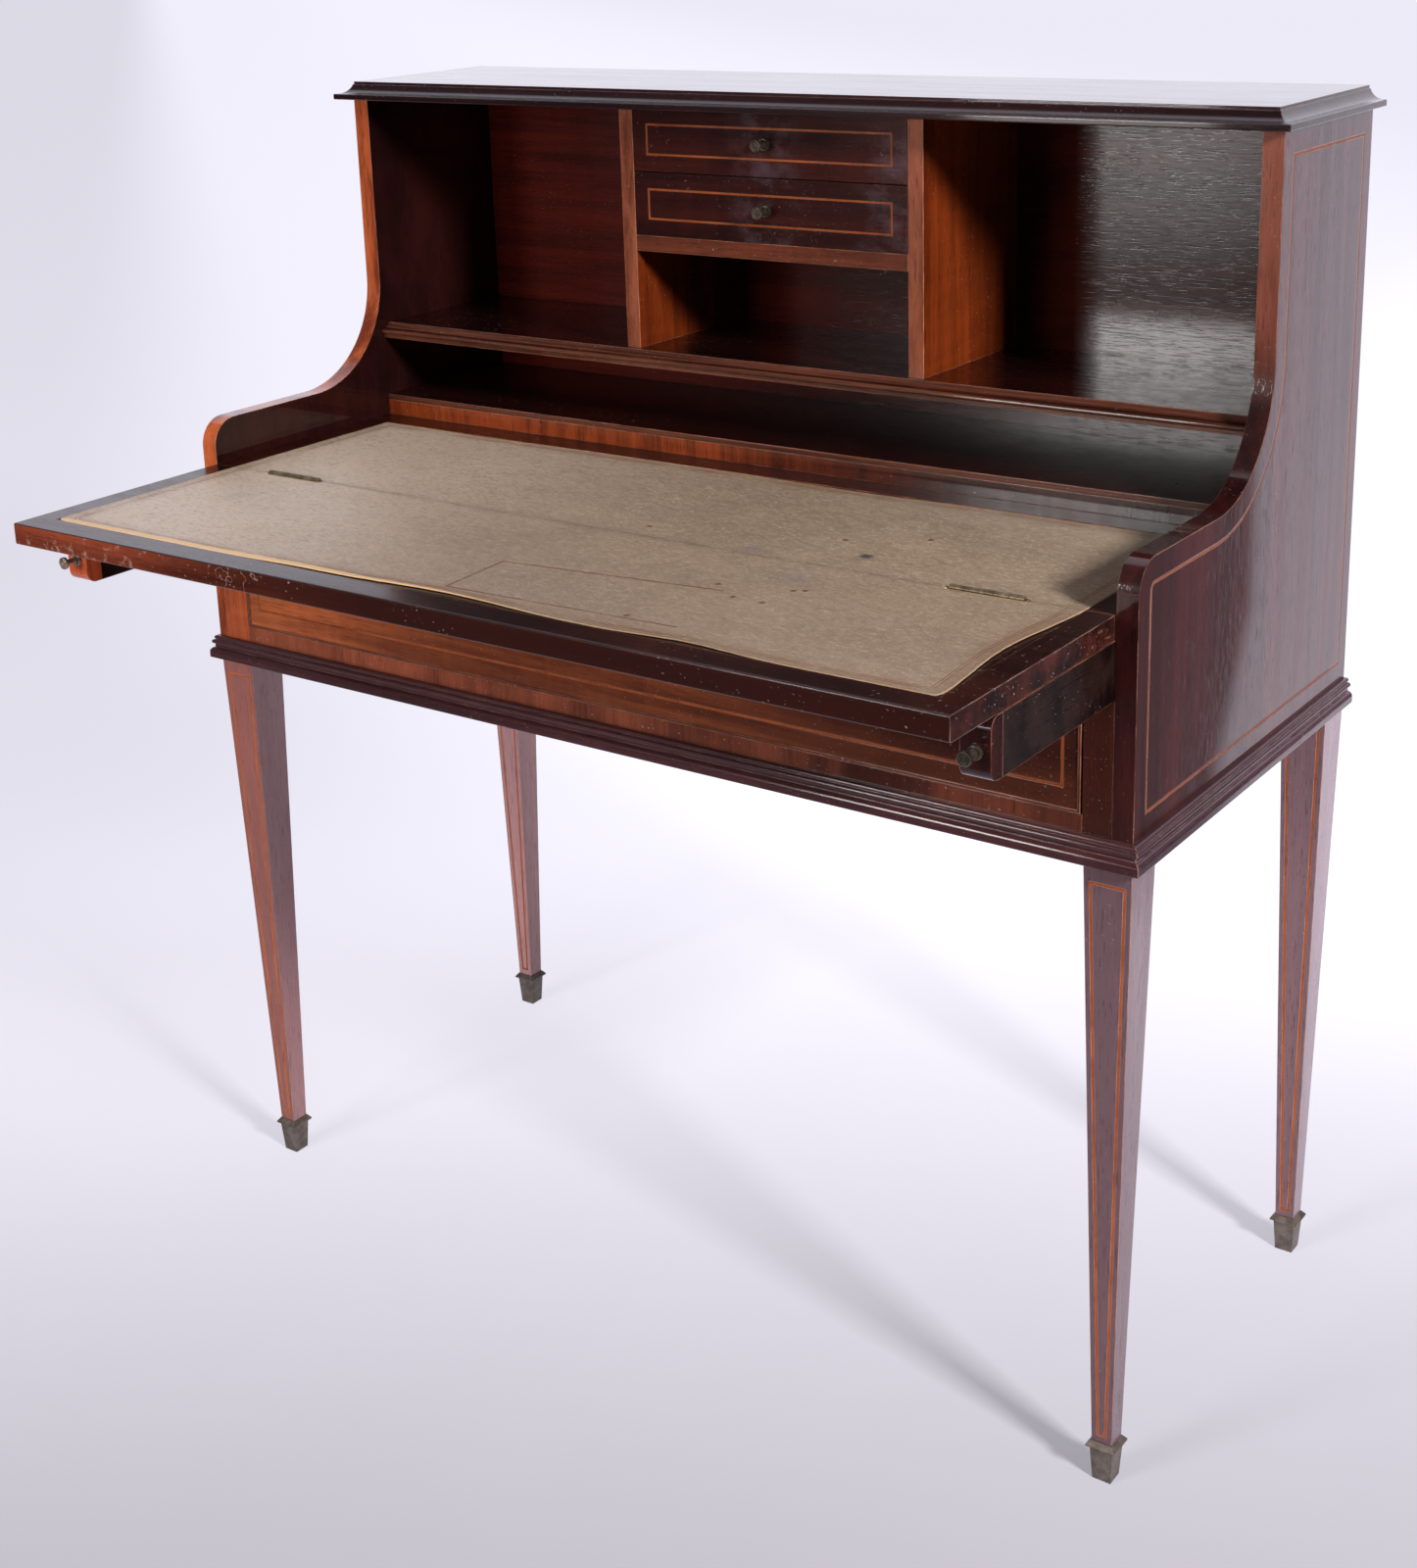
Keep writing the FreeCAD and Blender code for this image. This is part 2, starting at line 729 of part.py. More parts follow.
def hinges():
    """Two butt hinges let into the joint, with three knuckles to the rear and two to the front."""
    rear = hinge_plate("rear", (0, 2, 4))
    keep("hinge_rear_plates", group("rear_plates", rear, mirrored("rear_plate_left", rear)))
    front = hinge_plate("front", (1, 3))
    keep("hinge_front_plates", group("front_plates", front, mirrored("front_plate_left", front)))
    low, high = hinge_span("0")
    pin = rod("pin_right", "across", "pin_radius", f"({high}) - ({low})",
              (low, "0", "hinge_height"))
    keep("hinge_pins", group("pins", pin, mirrored("pin_left", pin)))
    for side in ("rear", "front"):
        right = screws(side, f"{side}_screw", "0")
        left = [mirrored(f"{screw.Name}_left", screw) for screw in right]
        keep(f"hinge_{side}_screws", group(f"{side}_screws", *right, *left))


def leather_beds(name, half, back, up):
    """A sheet of leather, or its bed, with a notch round each hinge."""
    sheet_block = block(f"{name}_sheet", (f"-({half})", half), back, up)
    low, high = hinge_span("leather_notch_gap")
    reach = "notch_radius + leather_notch_gap"
    notch = block(f"{name}_notch", (low, high), (f"-({reach})", reach), up)
    return cut(name, sheet_block, notch, mirrored(f"{name}_notch_left", notch))


def leaves():
    """The fixed rear leaf and the folding front leaf, both lined with leather."""
    up = ("leather_bed", "writing_height")
    board = block("rear_leaf_board", ("-inner_face", "inner_face"), ("joint_face", "back_face"),
                  ("leaf_bottom", "writing_height"))
    bed = leather_beds("rear_leather_bed", "leather_half", ("joint_face", "leather_rear"), up)
    keep("rear_leaf", cut("rear_leaf", board, bed, *hinge_beds("rear")))
    keep("rear_leather", leather_beds("rear_leather", "leather_half - leather_gap",
                                      ("joint_face", "leather_rear - leather_gap"), up))
    body = new_body("front_leaf_board")
    profile = sketch_on(body, "YZ_Plane")
    draw(profile, [
        ("-joint_face", "leaf_bottom"),
        ("-joint_face", "writing_height"),
        ("leaf_arris - leaf_depth", "writing_height"),
        ("-leaf_depth", "writing_height - leaf_arris",
         "leaf_arris - leaf_depth", "writing_height - leaf_arris"),
        ("-leaf_depth", "leaf_bottom + leaf_arris"),
        ("leaf_arris - leaf_depth", "leaf_bottom",
         "leaf_arris - leaf_depth", "leaf_bottom + leaf_arris"),
    ])
    pad(body, profile, "2 * (inner_face - leaf_side_gap)", middle=True)
    bed = leather_beds("front_leather_bed", "leather_half", ("-leather_front", "-joint_face"), up)
    keep("front_leaf", cut("front_leaf", body, bed, *hinge_beds("front")))
    keep("front_leather", leather_beds("front_leather", "leather_half - leather_gap",
                                       ("leather_gap - leather_front", "-joint_face"), up))


# ---------------------------------------------------------------- knobs, lopers and drawers

def knob(name, across, back, up):
    """A turned brass knob: stem, rosette, neck and a head with rings on its face."""
    body = new_body(name, across, back, up)
    profile = sketch_on(body, "XY_Plane")
    zero = "0"
    ring_floor = "ring_height - knob_reach"
    corners = [
        (zero, "stem_length"),
        ("stem_radius", "stem_length"),
        ("stem_radius", zero),
        ("rosette_radius", zero),
        ("rosette_radius", "-rosette_edge"),
        ("rosette_radius - rosette_round", "-rosette_edge - rosette_round",
         "rosette_radius - rosette_round", "-rosette_edge"),
        ("neck_radius", "-rosette_edge - 2 * rosette_round"),
        ("neck_radius", "knob_head + rosette_round - knob_reach"),
        ("knob_radius - knob_rim", "knob_head - knob_reach"),
        ("knob_radius", "knob_head - knob_rim - knob_reach",
         "knob_radius - knob_rim", "knob_head - knob_rim - knob_reach"),
        ("knob_radius", "ring_height + knob_rim - knob_reach"),
        ("knob_radius - knob_rim", ring_floor,
         "knob_radius - knob_rim", "ring_height + knob_rim - knob_reach"),
    ]
    for count in (1, 2):
        edge = f"knob_radius - knob_rim - {count} * ring_width"
        corners.append((edge, ring_floor, f"{edge} + ring_width / 2", f"{ring_floor} + ring_sink"))
    boss = "(knob_radius - knob_rim - 2 * ring_width)"
    dome = f"({boss} * {boss} + ring_height * ring_height) / (2 * ring_height)"
    corners.append((zero, "-knob_reach", zero, f"{dome} - knob_reach"))
    draw(profile, corners)
    turned = body.newObject("PartDesign::Revolution", f"{name}_turned")
    turned.Profile = profile
    turned.ReferenceAxis = (profile, ["V_Axis"])
    turned.Angle = 360
    return body


def knob_hole(name, across, back, up):
    """The hole that a knob's stem enters."""
    return rod(name, "back", "stem_radius + stem_gap", "stem_length", (across, back, up))


def loper():
    """A loper: a stock with a groove for its stop, a rounded facing and a knob."""
    joint = "facing_thickness - loper_reach"
    low, high = "loper_bottom", "loper_top"
    bar = block("loper_bar", ("loper_inner", "loper_outer"), (joint, "loper_hidden_length"), (low, high))
    reach = "(peg_radius + peg_groove_gap)"
    groove = block("loper_groove",
                   ("loper_inner - loper_side_gap", "partition_outer + peg_reach + peg_groove_spare"),
                   (f"peg_place - loper_reach - {reach}", f"peg_place + {reach}"),
                   (f"peg_height - {reach}", f"peg_height + {reach}"))
    centre = "(loper_inner + loper_outer) / 2"
    knob_at = (centre, "-loper_reach", "loper_bottom + loper_knob_rise")
    stock = keep("loper_right", cut("loper_right", bar, groove))
    keep("loper_left", mirrored("loper_left", stock))
    body = new_body("loper_facing_body", "loper_inner", "-loper_reach", "loper_bottom")
    profile = sketch_on(body, "YZ_Plane")
    zero = "0"
    draw(profile, [
        ("facing_thickness", zero),
        ("facing_thickness", "loper_height"),
        ("facing_round", "loper_height"),
        (zero, "loper_height - facing_round", "facing_round", "loper_height - facing_round"),
        (zero, "facing_round"),
        ("facing_round", zero, "facing_round", "facing_round"),
    ])
    pad(body, profile, "loper_outer - loper_inner")
    facing = cut("loper_facing_right", body, knob_hole("loper_knob_hole", *knob_at))
    keep("loper_right_facing", facing)
    keep("loper_left_facing", mirrored("loper_facing_left", facing))
    turned = keep("loper_right_knob", knob("loper_knob_right", *knob_at))
    keep("loper_left_knob", mirrored("loper_knob_left", turned))


def drawer_string(name, half, front, low, high):
    """A rectangle of stringing let flush into a drawer front."""
    deep = (front, f"{front} + string_depth")
    outer = block(f"{name}_outer", (f"-({half})", half), deep, (low, high))
    inner = block(f"{name}_inner", (f"string_width - ({half})", f"({half}) - string_width"), deep,
                  (f"{low} + string_width", f"{high} - string_width"))
    return cut(f"{name}_line", outer, inner)


def drawer_box(name, kind, front, low, high):
    """The sides and back of a drawer, with a groove in the sides, and its bottom."""
    start = f"({front} + {kind}_front_thickness)"
    end = f"(back_face - {kind}_box_spare)"
    half = f"({kind}_box_half)"
    inner = f"({half} - {kind}_side_thickness)"
    top = f"({high} - {kind}_box_drop)"
    floor = f"({low} + {kind}_bottom_rise)"
    floor_top = f"({floor} + {kind}_bottom_thickness)"
    side = block(f"{name}_side_right", (inner, half), (start, end), (low, top))
    back = block(f"{name}_back", (f"-{inner}", inner), (f"{end} - {kind}_side_thickness", end),
                 (floor_top, f"{top} - {kind}_back_drop"))
    walls = group(f"{name}_walls", side, mirrored(f"{name}_side_left", side), back)
    groove = block(f"{name}_groove", (f"-({inner} + groove_depth)", f"{inner} + groove_depth"),
                   (f"{start} - groove_depth", end), (floor, floor_top))
    keep(f"{name}_box", cut(f"{name}_box", walls, groove))
    reach = f"({inner} + groove_depth - groove_gap)"
    keep(f"{name}_bottom", block(f"{name}_bottom", (f"-{reach}", reach),
                                 (f"{start} - groove_depth + groove_gap", end), (floor, floor_top)))
    return groove


def frieze_drawer():
    """The long drawer: a front with cockbeading, stringing and two knobs, and its box."""
    name = "frieze_drawer"
    zero = "0"
    groove = drawer_box(name, "frieze", zero, "frieze_low", "frieze_high")
    edge = "cockbead_width"
    front = block("frieze_board", ("-frieze_half", "frieze_half"), (zero, "frieze_front_thickness"),
                  ("frieze_low", "frieze_high"))
    deep = ("-cockbead_proud", "cockbead_depth")
    outer = block("cockbead_outer", ("-frieze_half", "frieze_half"), deep, ("frieze_low", "frieze_high"))
    inner = block("cockbead_inner", (f"{edge} - frieze_half", f"frieze_half - {edge}"), deep,
                  (f"frieze_low + {edge}", f"frieze_high - {edge}"))
    bead = keep(f"{name}_cockbead", cut("cockbead", outer, inner))
    half = "(frieze_half - frieze_string_inset)"
    line = drawer_string(name, half, zero, "(frieze_low + frieze_string_rise)",
                         "(frieze_high - frieze_string_rise)")
    keep(f"{name}_stringing", line)
    knob_at = ("frieze_knob_spacing / 2", zero, "(frieze_low + frieze_high) / 2")
    hole = knob_hole("frieze_knob_hole", *knob_at)
    keep(f"{name}_front", cut("frieze_front", front, bead, line, groove, hole,
                              mirrored("frieze_knob_hole_left", hole)))
    turned = knob("frieze_knob_right", *knob_at)
    keep(f"{name}_knobs", group("frieze_knobs", turned, mirrored("frieze_knob_left", turned)))


def small_drawer(level):
    """One of the two small drawers in the middle of the cabinet."""
    name = f"{level}_small_drawer"
    low, high = f"({level}_small_low)", f"({level}_small_high)"
    groove = drawer_box(name, "small", "small_front", low, high)
    front = block(f"{name}_board", ("-small_half", "small_half"),
                  ("small_front", "small_front + small_front_thickness"), (low, high))
    line = drawer_string(name, "(small_half - small_string_inset)", "small_front",
                         f"({low} + small_string_inset)", f"({high} - small_string_inset)")
    keep(f"{name}_stringing", line)
    knob_at = ("0", "small_front", f"({low} + {high}) / 2")
    hole = knob_hole(f"{name}_knob_hole", *knob_at)
    keep(f"{name}_front", cut(f"{name}_face", front, line, groove, hole))
    keep(f"{name}_knob", knob(f"{name}_turning", *knob_at))


# ---------------------------------------------------------------- base, legs and sabots

def base_profile(at):
    """Corners of the base moulding; at() places a distance out from the case's face."""
    bead, second, torus = "bead_radius", "second_bead_radius", "torus_radius"
    bead_in, bead_mid = at(f"bead_out - {bead}"), f"case_bottom - {bead}"
    second_in, second_mid = at(f"second_bead_out - {second}"), f"bead_bottom - {second}"
    torus_in, torus_mid = at(f"torus_out - {torus}"), f"torus_top - {torus}"
    return [
        (at("0"), "case_bottom"),
        (bead_in, "case_bottom"),
        (at("bead_out"), bead_mid, bead_in, bead_mid),
        (bead_in, "bead_bottom", bead_in, bead_mid),
        (second_in, "bead_bottom"),
        (at("second_bead_out"), second_mid, second_in, second_mid),
        (second_in, "second_bead_bottom", second_in, second_mid),
        (second_in, "torus_top"),
        (torus_in, "torus_top"),
        (at("torus_out"), torus_mid, torus_in, torus_mid),
        (at("torus_out"), "base_bottom + base_arris"),
        (at("torus_out - base_arris"), "base_bottom", at("torus_out - base_arris"),
         "base_bottom + base_arris"),
        (at("0"), "base_bottom"),
    ]


def mitre_plan(name, corners):
    """An upright prism over a plan outline, as tall as the base moulding."""
    body = new_body(name)
    plan = sketch_on(body, "XY_Plane", offset="base_bottom")
    draw(plan, corners)
    return pad(body, plan, "base_height")


def base_mouldings():
    """Three lengths of moulding planted round the underframe and mitred at the front corners."""
    zero = "0"
    out = "half_width + torus_out"
    length = new_body("front_moulding")
    profile = sketch_on(length, "YZ_Plane")
    draw(profile, base_profile(lambda proud: f"-({proud})"))
    pad(length, profile, f"2 * ({out})", middle=True)
    plan = mitre_plan("front_mitre", [("-half_width", zero), ("half_width", zero),
                                      (out, "-torus_out"), (f"-({out})", "-torus_out")])
    keep("base_moulding_front", common("base_front", length, plan))
    side = new_body("side_moulding", back="-torus_out")
    profile = sketch_on(side, "XZ_Plane")
    draw(profile, base_profile(lambda proud: f"half_width + ({proud})"))
    pad(side, profile, "case_depth + torus_out", backwards=True)
    plan = mitre_plan("side_mitre", [("half_width", zero), (out, "-torus_out"),
                                     (out, "case_depth"), ("half_width", "case_depth")])
    right = common("base_side_right", side, plan)
    keep("base_moulding_sides", group("base_sides", right, mirrored("base_side_left", right)))


def around(centre, size):
    """The low and high places of a size that is centred on a place."""
    return (f"({centre}) - ({size}) / 2", f"({centre}) + ({size}) / 2")


def underframe():
    """Four rails under the case, with mortises for the legs' tenons."""
    inner = "half_width - underframe_width"
    up = ("base_bottom", "case_bottom")
    pieces = []
    side = block("side_rail", (inner, "half_width"), ("0", "case_depth"), up)
    mortises = []
    for end in ("front", "rear"):
        mortises.append(block(f"{end}_mortise", around("leg_centre", "tenon_size + 2 * tenon_gap"),
                              around(f"leg_{end}", "tenon_size + 2 * tenon_gap"),
                              ("base_bottom", "base_bottom + tenon_height + tenon_gap")))
    right = cut("side_rail_right", side, *mortises)
    pieces = [right, mirrored("side_rail_left", right)]
    across = (f"-({inner})", inner)
    pieces.append(block("front_rail", across, ("0", "underframe_width"), up))
    pieces.append(block("rear_rail", across, ("case_depth - underframe_width", "case_depth"), up))
    keep("underframe", group("frame_rails", *pieces))


def leg_solid(end):
    """A right-hand leg: a taper with a tenon above it and a stub below."""
    centre = ("leg_centre", f"leg_{end}")
    shaft = taper(f"{end}_shaft", centre, ("sabot_height", "leg_foot", "leg_foot"),
                  ("base_bottom", "leg_size", "leg_size"))
    tenon = block(f"{end}_tenon", around(centre[0], "tenon_size"), around(centre[1], "tenon_size"),
                  ("base_bottom", "base_bottom + tenon_height"))
    stub = block(f"{end}_stub", around(centre[0], "stub_size"), around(centre[1], "stub_size"),
                 ("sabot_sole + tenon_gap", "sabot_height"))
    return joined(f"{end}_leg", shaft, tenon, stub), shaft


def leg_line(end, shaft):
    """The tapering rectangle of stringing let into the front face of a right-hand leg."""
    edges = []
    for name, step in (("outer", "0"), ("inner", "string_width")):
        ends = []
        for height in (f"(leg_string_low + {step})", f"(leg_string_high - {step})"):
            width = f"leg_foot + 2 * (leg_slope * ({height} - sabot_height) - leg_string_inset - {step})"
            ends.append((height, width, "leg_size"))
        edges.append(taper(f"{end}_leg_string_{name}",
                           ("leg_centre", f"leg_{end} - leg_size / 2"), *ends))
    ring = cut(f"{end}_leg_ring", *edges)
    deeper = taper(f"{end}_leg_core", ("leg_centre", f"leg_{end} + string_depth"),
                   ("sabot_height", "leg_foot", "leg_foot"), ("base_bottom", "leg_size", "leg_size"))
    skin = cut(f"{end}_leg_skin", shaft, deeper)
    return common(f"{end}_leg_line", skin, ring)


def legs():
    """Four legs with stringing in their front faces, and the brass sabots under them."""
    lines = []
    shoes = []
    for end in ("front", "rear"):
        solid, shaft = leg_solid(end)
        line = leg_line(end, shaft)
        lines += [line, mirrored(f"{end}_leg_line_left", line)]
        leg = cut(f"{end}_right_leg", solid, line)
        keep(f"{end}_right_leg", leg)
        keep(f"{end}_left_leg", mirrored(f"{end}_left_leg", leg))
        shoe = sabot(end)
        shoes += [shoe, mirrored(f"{end}_sabot_left", shoe)]
    keep("leg_stringing", group("leg_lines", *lines))
    keep("sabots", group("shoes", *shoes))


def sabot(end):
    """A brass cup for a leg's foot, with a thin flange that slopes up to the wood."""
    centre = ("leg_centre", f"leg_{end}")
    edge = "sabot_cup_height + flange_edge"
    cup = taper(f"{end}_cup", centre, ("0", "sabot_floor", "sabot_floor"),
                ("sabot_cup_height", "sabot_neck", "sabot_neck"))
    rim = taper(f"{end}_rim", centre, ("sabot_cup_height", "sabot_flange", "sabot_flange"),
                (edge, "sabot_flange", "sabot_flange"))
    slope = taper(f"{end}_slope", centre, (edge, "sabot_flange", "sabot_flange"),
                  ("sabot_height", "sabot_rim", "sabot_rim"))
    socket = block(f"{end}_socket", around(centre[0], "stub_size + 2 * tenon_gap"),
                   around(centre[1], "stub_size + 2 * tenon_gap"), ("sabot_sole", "sabot_height"))
    return cut(f"{end}_sabot_right", joined(f"{end}_shoe", cup, rim, slope), socket)


# ---------------------------------------------------------------- building, checks and files

def check():
    """Stop if anything failed, came out empty or cut nothing."""
    for thing in document.Objects:
        if any(state in ("Invalid", "Error") for state in thing.State):
            raise RuntimeError(f"{thing.Name} failed: {thing.State}")
    for thing in document.Objects:
        if thing.TypeId == "PartDesign::Pocket":
            base = thing.BaseFeature.Shape.Volume
        elif thing.TypeId == "Part::Cut":
            base = thing.Base.Shape.Volume
        else:
            continue
        if thing.Shape.Volume >= base - 0.01:
            raise RuntimeError(f"{thing.Name} cuts nothing")
    for part in sub_parts:
        if part.Shape.isNull() or not part.Shape.isValid() or not part.Shape.Solids:
            raise RuntimeError(f"{part.Label} is not a valid solid")


def write():
    """Write each sub-part to its own file."""
    os.makedirs("parts", exist_ok=True)
    for part in sub_parts:
        part.Shape.exportStep(f"parts/{part.Label}.step")
        print(f"{part.Label}: {len(part.Shape.Solids)} solids, {part.Shape.Volume / 1000:.1f} cm3")


fill_sheet()
end_panels()
panel_stringing()
top_board()
upper_shelf()
cabinet()
drawer_case()
leaves()
hinges()
loper()
frieze_drawer()
for level in ("upper", "lower"):
    small_drawer(level)
base_mouldings()
underframe()
legs()
document.recompute()
check()
write()
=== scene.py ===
import math

import bmesh
import bpy
from bpy.props import FloatProperty, FloatVectorProperty, PointerProperty
from mathutils import Matrix, Vector, noise


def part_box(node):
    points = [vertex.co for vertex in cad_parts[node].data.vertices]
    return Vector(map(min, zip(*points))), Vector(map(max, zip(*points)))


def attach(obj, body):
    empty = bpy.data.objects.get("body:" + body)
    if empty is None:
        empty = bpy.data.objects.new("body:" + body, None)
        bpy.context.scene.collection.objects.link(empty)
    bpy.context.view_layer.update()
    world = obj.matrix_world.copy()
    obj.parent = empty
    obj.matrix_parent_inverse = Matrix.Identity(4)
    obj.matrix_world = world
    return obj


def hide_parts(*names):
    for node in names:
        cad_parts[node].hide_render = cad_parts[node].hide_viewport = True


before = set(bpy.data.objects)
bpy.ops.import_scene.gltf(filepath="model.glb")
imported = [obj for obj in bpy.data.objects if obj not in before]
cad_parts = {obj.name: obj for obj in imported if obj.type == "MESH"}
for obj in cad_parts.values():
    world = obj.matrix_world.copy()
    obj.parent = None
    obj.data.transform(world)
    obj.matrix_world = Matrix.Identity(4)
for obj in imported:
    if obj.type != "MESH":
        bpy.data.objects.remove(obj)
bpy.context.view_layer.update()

bl_info = {
    "name": "Bonheur du jour",
    "version": (1, 0, 0),
    "blender": (4, 5, 0),
    "location": "3D View > Sidebar > Desk",
    "description": "Finishes a lady's writing desk: wood, inlay, brass, leather and a studio",
    "category": "Object",
}

CASE = "case"
LEAF = "front_leaf"

# places on the desk that finishes and pieces are measured from, in metres
WRITING_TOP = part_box("rear_leaf")[1].z
JOINT = (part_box("rear_leaf")[0].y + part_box("front_leaf")[1].y) / 2
FRONT_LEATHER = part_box("front_leather")
REAR_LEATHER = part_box("rear_leather")
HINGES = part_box("hinge_pins")


def paint(red, green, blue):
    """Turn a paint chip's 0 to 255 values into a linear colour."""
    return tuple(_linear(part / 255) for part in (red, green, blue))


def _linear(part):
    """Take the screen curve off one value."""
    return part / 12.92 if part <= 0.04045 else ((part + 0.055) / 1.055) ** 2.4


# ---------------------------------------------------------------- what a user would change

def colour(name, description, chip):
    """A colour property with its default."""
    return FloatVectorProperty(name=name, description=description, subtype="COLOR", size=3,
                               min=0.0, max=1.0, default=paint(*chip))


def share(name, description, default):
    """A property from none to all."""
    return FloatProperty(name=name, description=description, default=default, min=0.0, max=1.0,
                         subtype="FACTOR")


def length(name, description, default):
    """A property in metres."""
    return FloatProperty(name=name, description=description, default=default, subtype="DISTANCE",
                         unit="LENGTH")


def power(name, description, default):
    """A lamp's power in watts."""
    return FloatProperty(name=name, description=description, default=default, min=0.0,
                         subtype="POWER", unit="POWER")


class DeskWood(bpy.types.PropertyGroup):
    """Colours and polish of the mahogany."""
    dark: colour("Dark veneer", "Dark streaks of the outside veneer", (34, 12, 14))
    warm: colour("Warm veneer", "Light streaks of the outside veneer", (68, 25, 25))
    # the worn arris colour is also a painted highlight along the edges
    arris: colour("Worn arris", "Edges where the polish has rubbed away", (150, 88, 62))
    inside: colour("Stained inside", "Dark stained shelves", (18, 6, 7))
    # light colour of the front left leg: faded wood, also made paler as painted light from the front left
    faded: colour("Faded legs", "Legs bleached by light", (150, 78, 56))
    carcase: colour("Carcase wood", "Drawer linings and hidden boards", (146, 106, 70))
    polish: share("Polish", "How much the polish shines", 1.0)
    wear: share("Wear", "How many scratches and specks show", 0.36)


class DeskInlay(bpy.types.PropertyGroup):
    """Colours of the stringing."""
    light: colour("Light line", "Lit parts of the stringing", (142, 71, 32))
    dark: colour("Dark line", "Grimed parts of the stringing", (99, 45, 18))


class DeskBrass(bpy.types.PropertyGroup):
    """Colours of the brass."""
    bright: colour("Rubbed brass", "Where hands rub the brass", (172, 150, 128))
    dull: colour("Dull brass", "Where the brass has gone dull", (76, 64, 57))


class DeskLeather(bpy.types.PropertyGroup):
    """Colours and edges of the leather lining."""
    hide: colour("Hide", "Worn face of the leather", (162, 142, 123))
    grime: colour("Grime", "Handled and dirty parts", (130, 112, 95))
    raw: colour("Raw edge", "Cut edge and bare hide", (222, 182, 134))
    tooling: colour("Tooling", "Border lines pressed into the leather", (112, 72, 44))
    stain: colour("Stain", "Rings and marks left by damp", (96, 54, 34))
    ink: colour("Ink", "Old ink spots", (38, 44, 62))
    lift: length("Edge lift", "How far the loose front edge curls up", 0.0008)
    thickness: length("Thickness", "Thickness of the hide", 0.0009)


class DeskStudio(bpy.types.PropertyGroup):
    """Light and backdrop."""
    floor: colour("Floor", "Pale studio floor", (226, 224, 236))
    backdrop: colour("Backdrop", "What shows beyond the floor", (238, 236, 248))
    key_lamp: power("Key lamp", "Power of the soft box at the front right", 190.0)
    window: power("Window", "Power of the tall window at the front left", 38.0)
    front_lamp: power("Front lamp", "Power of the soft box in front", 19.0)
    top_lamp: power("Top lamp", "Power of the soft box overhead", 6.0)
    ambient: FloatProperty(name="Ambient", description="Strength of the even light", default=0.15,
                           min=0.0)


class Desk(bpy.types.PropertyGroup):
    """All settings of the desk."""
    wood: PointerProperty(type=DeskWood)
    inlay: PointerProperty(type=DeskInlay)
    brass: PointerProperty(type=DeskBrass)
    leather: PointerProperty(type=DeskLeather)
    studio: PointerProperty(type=DeskStudio)


# ---------------------------------------------------------------- shader helpers

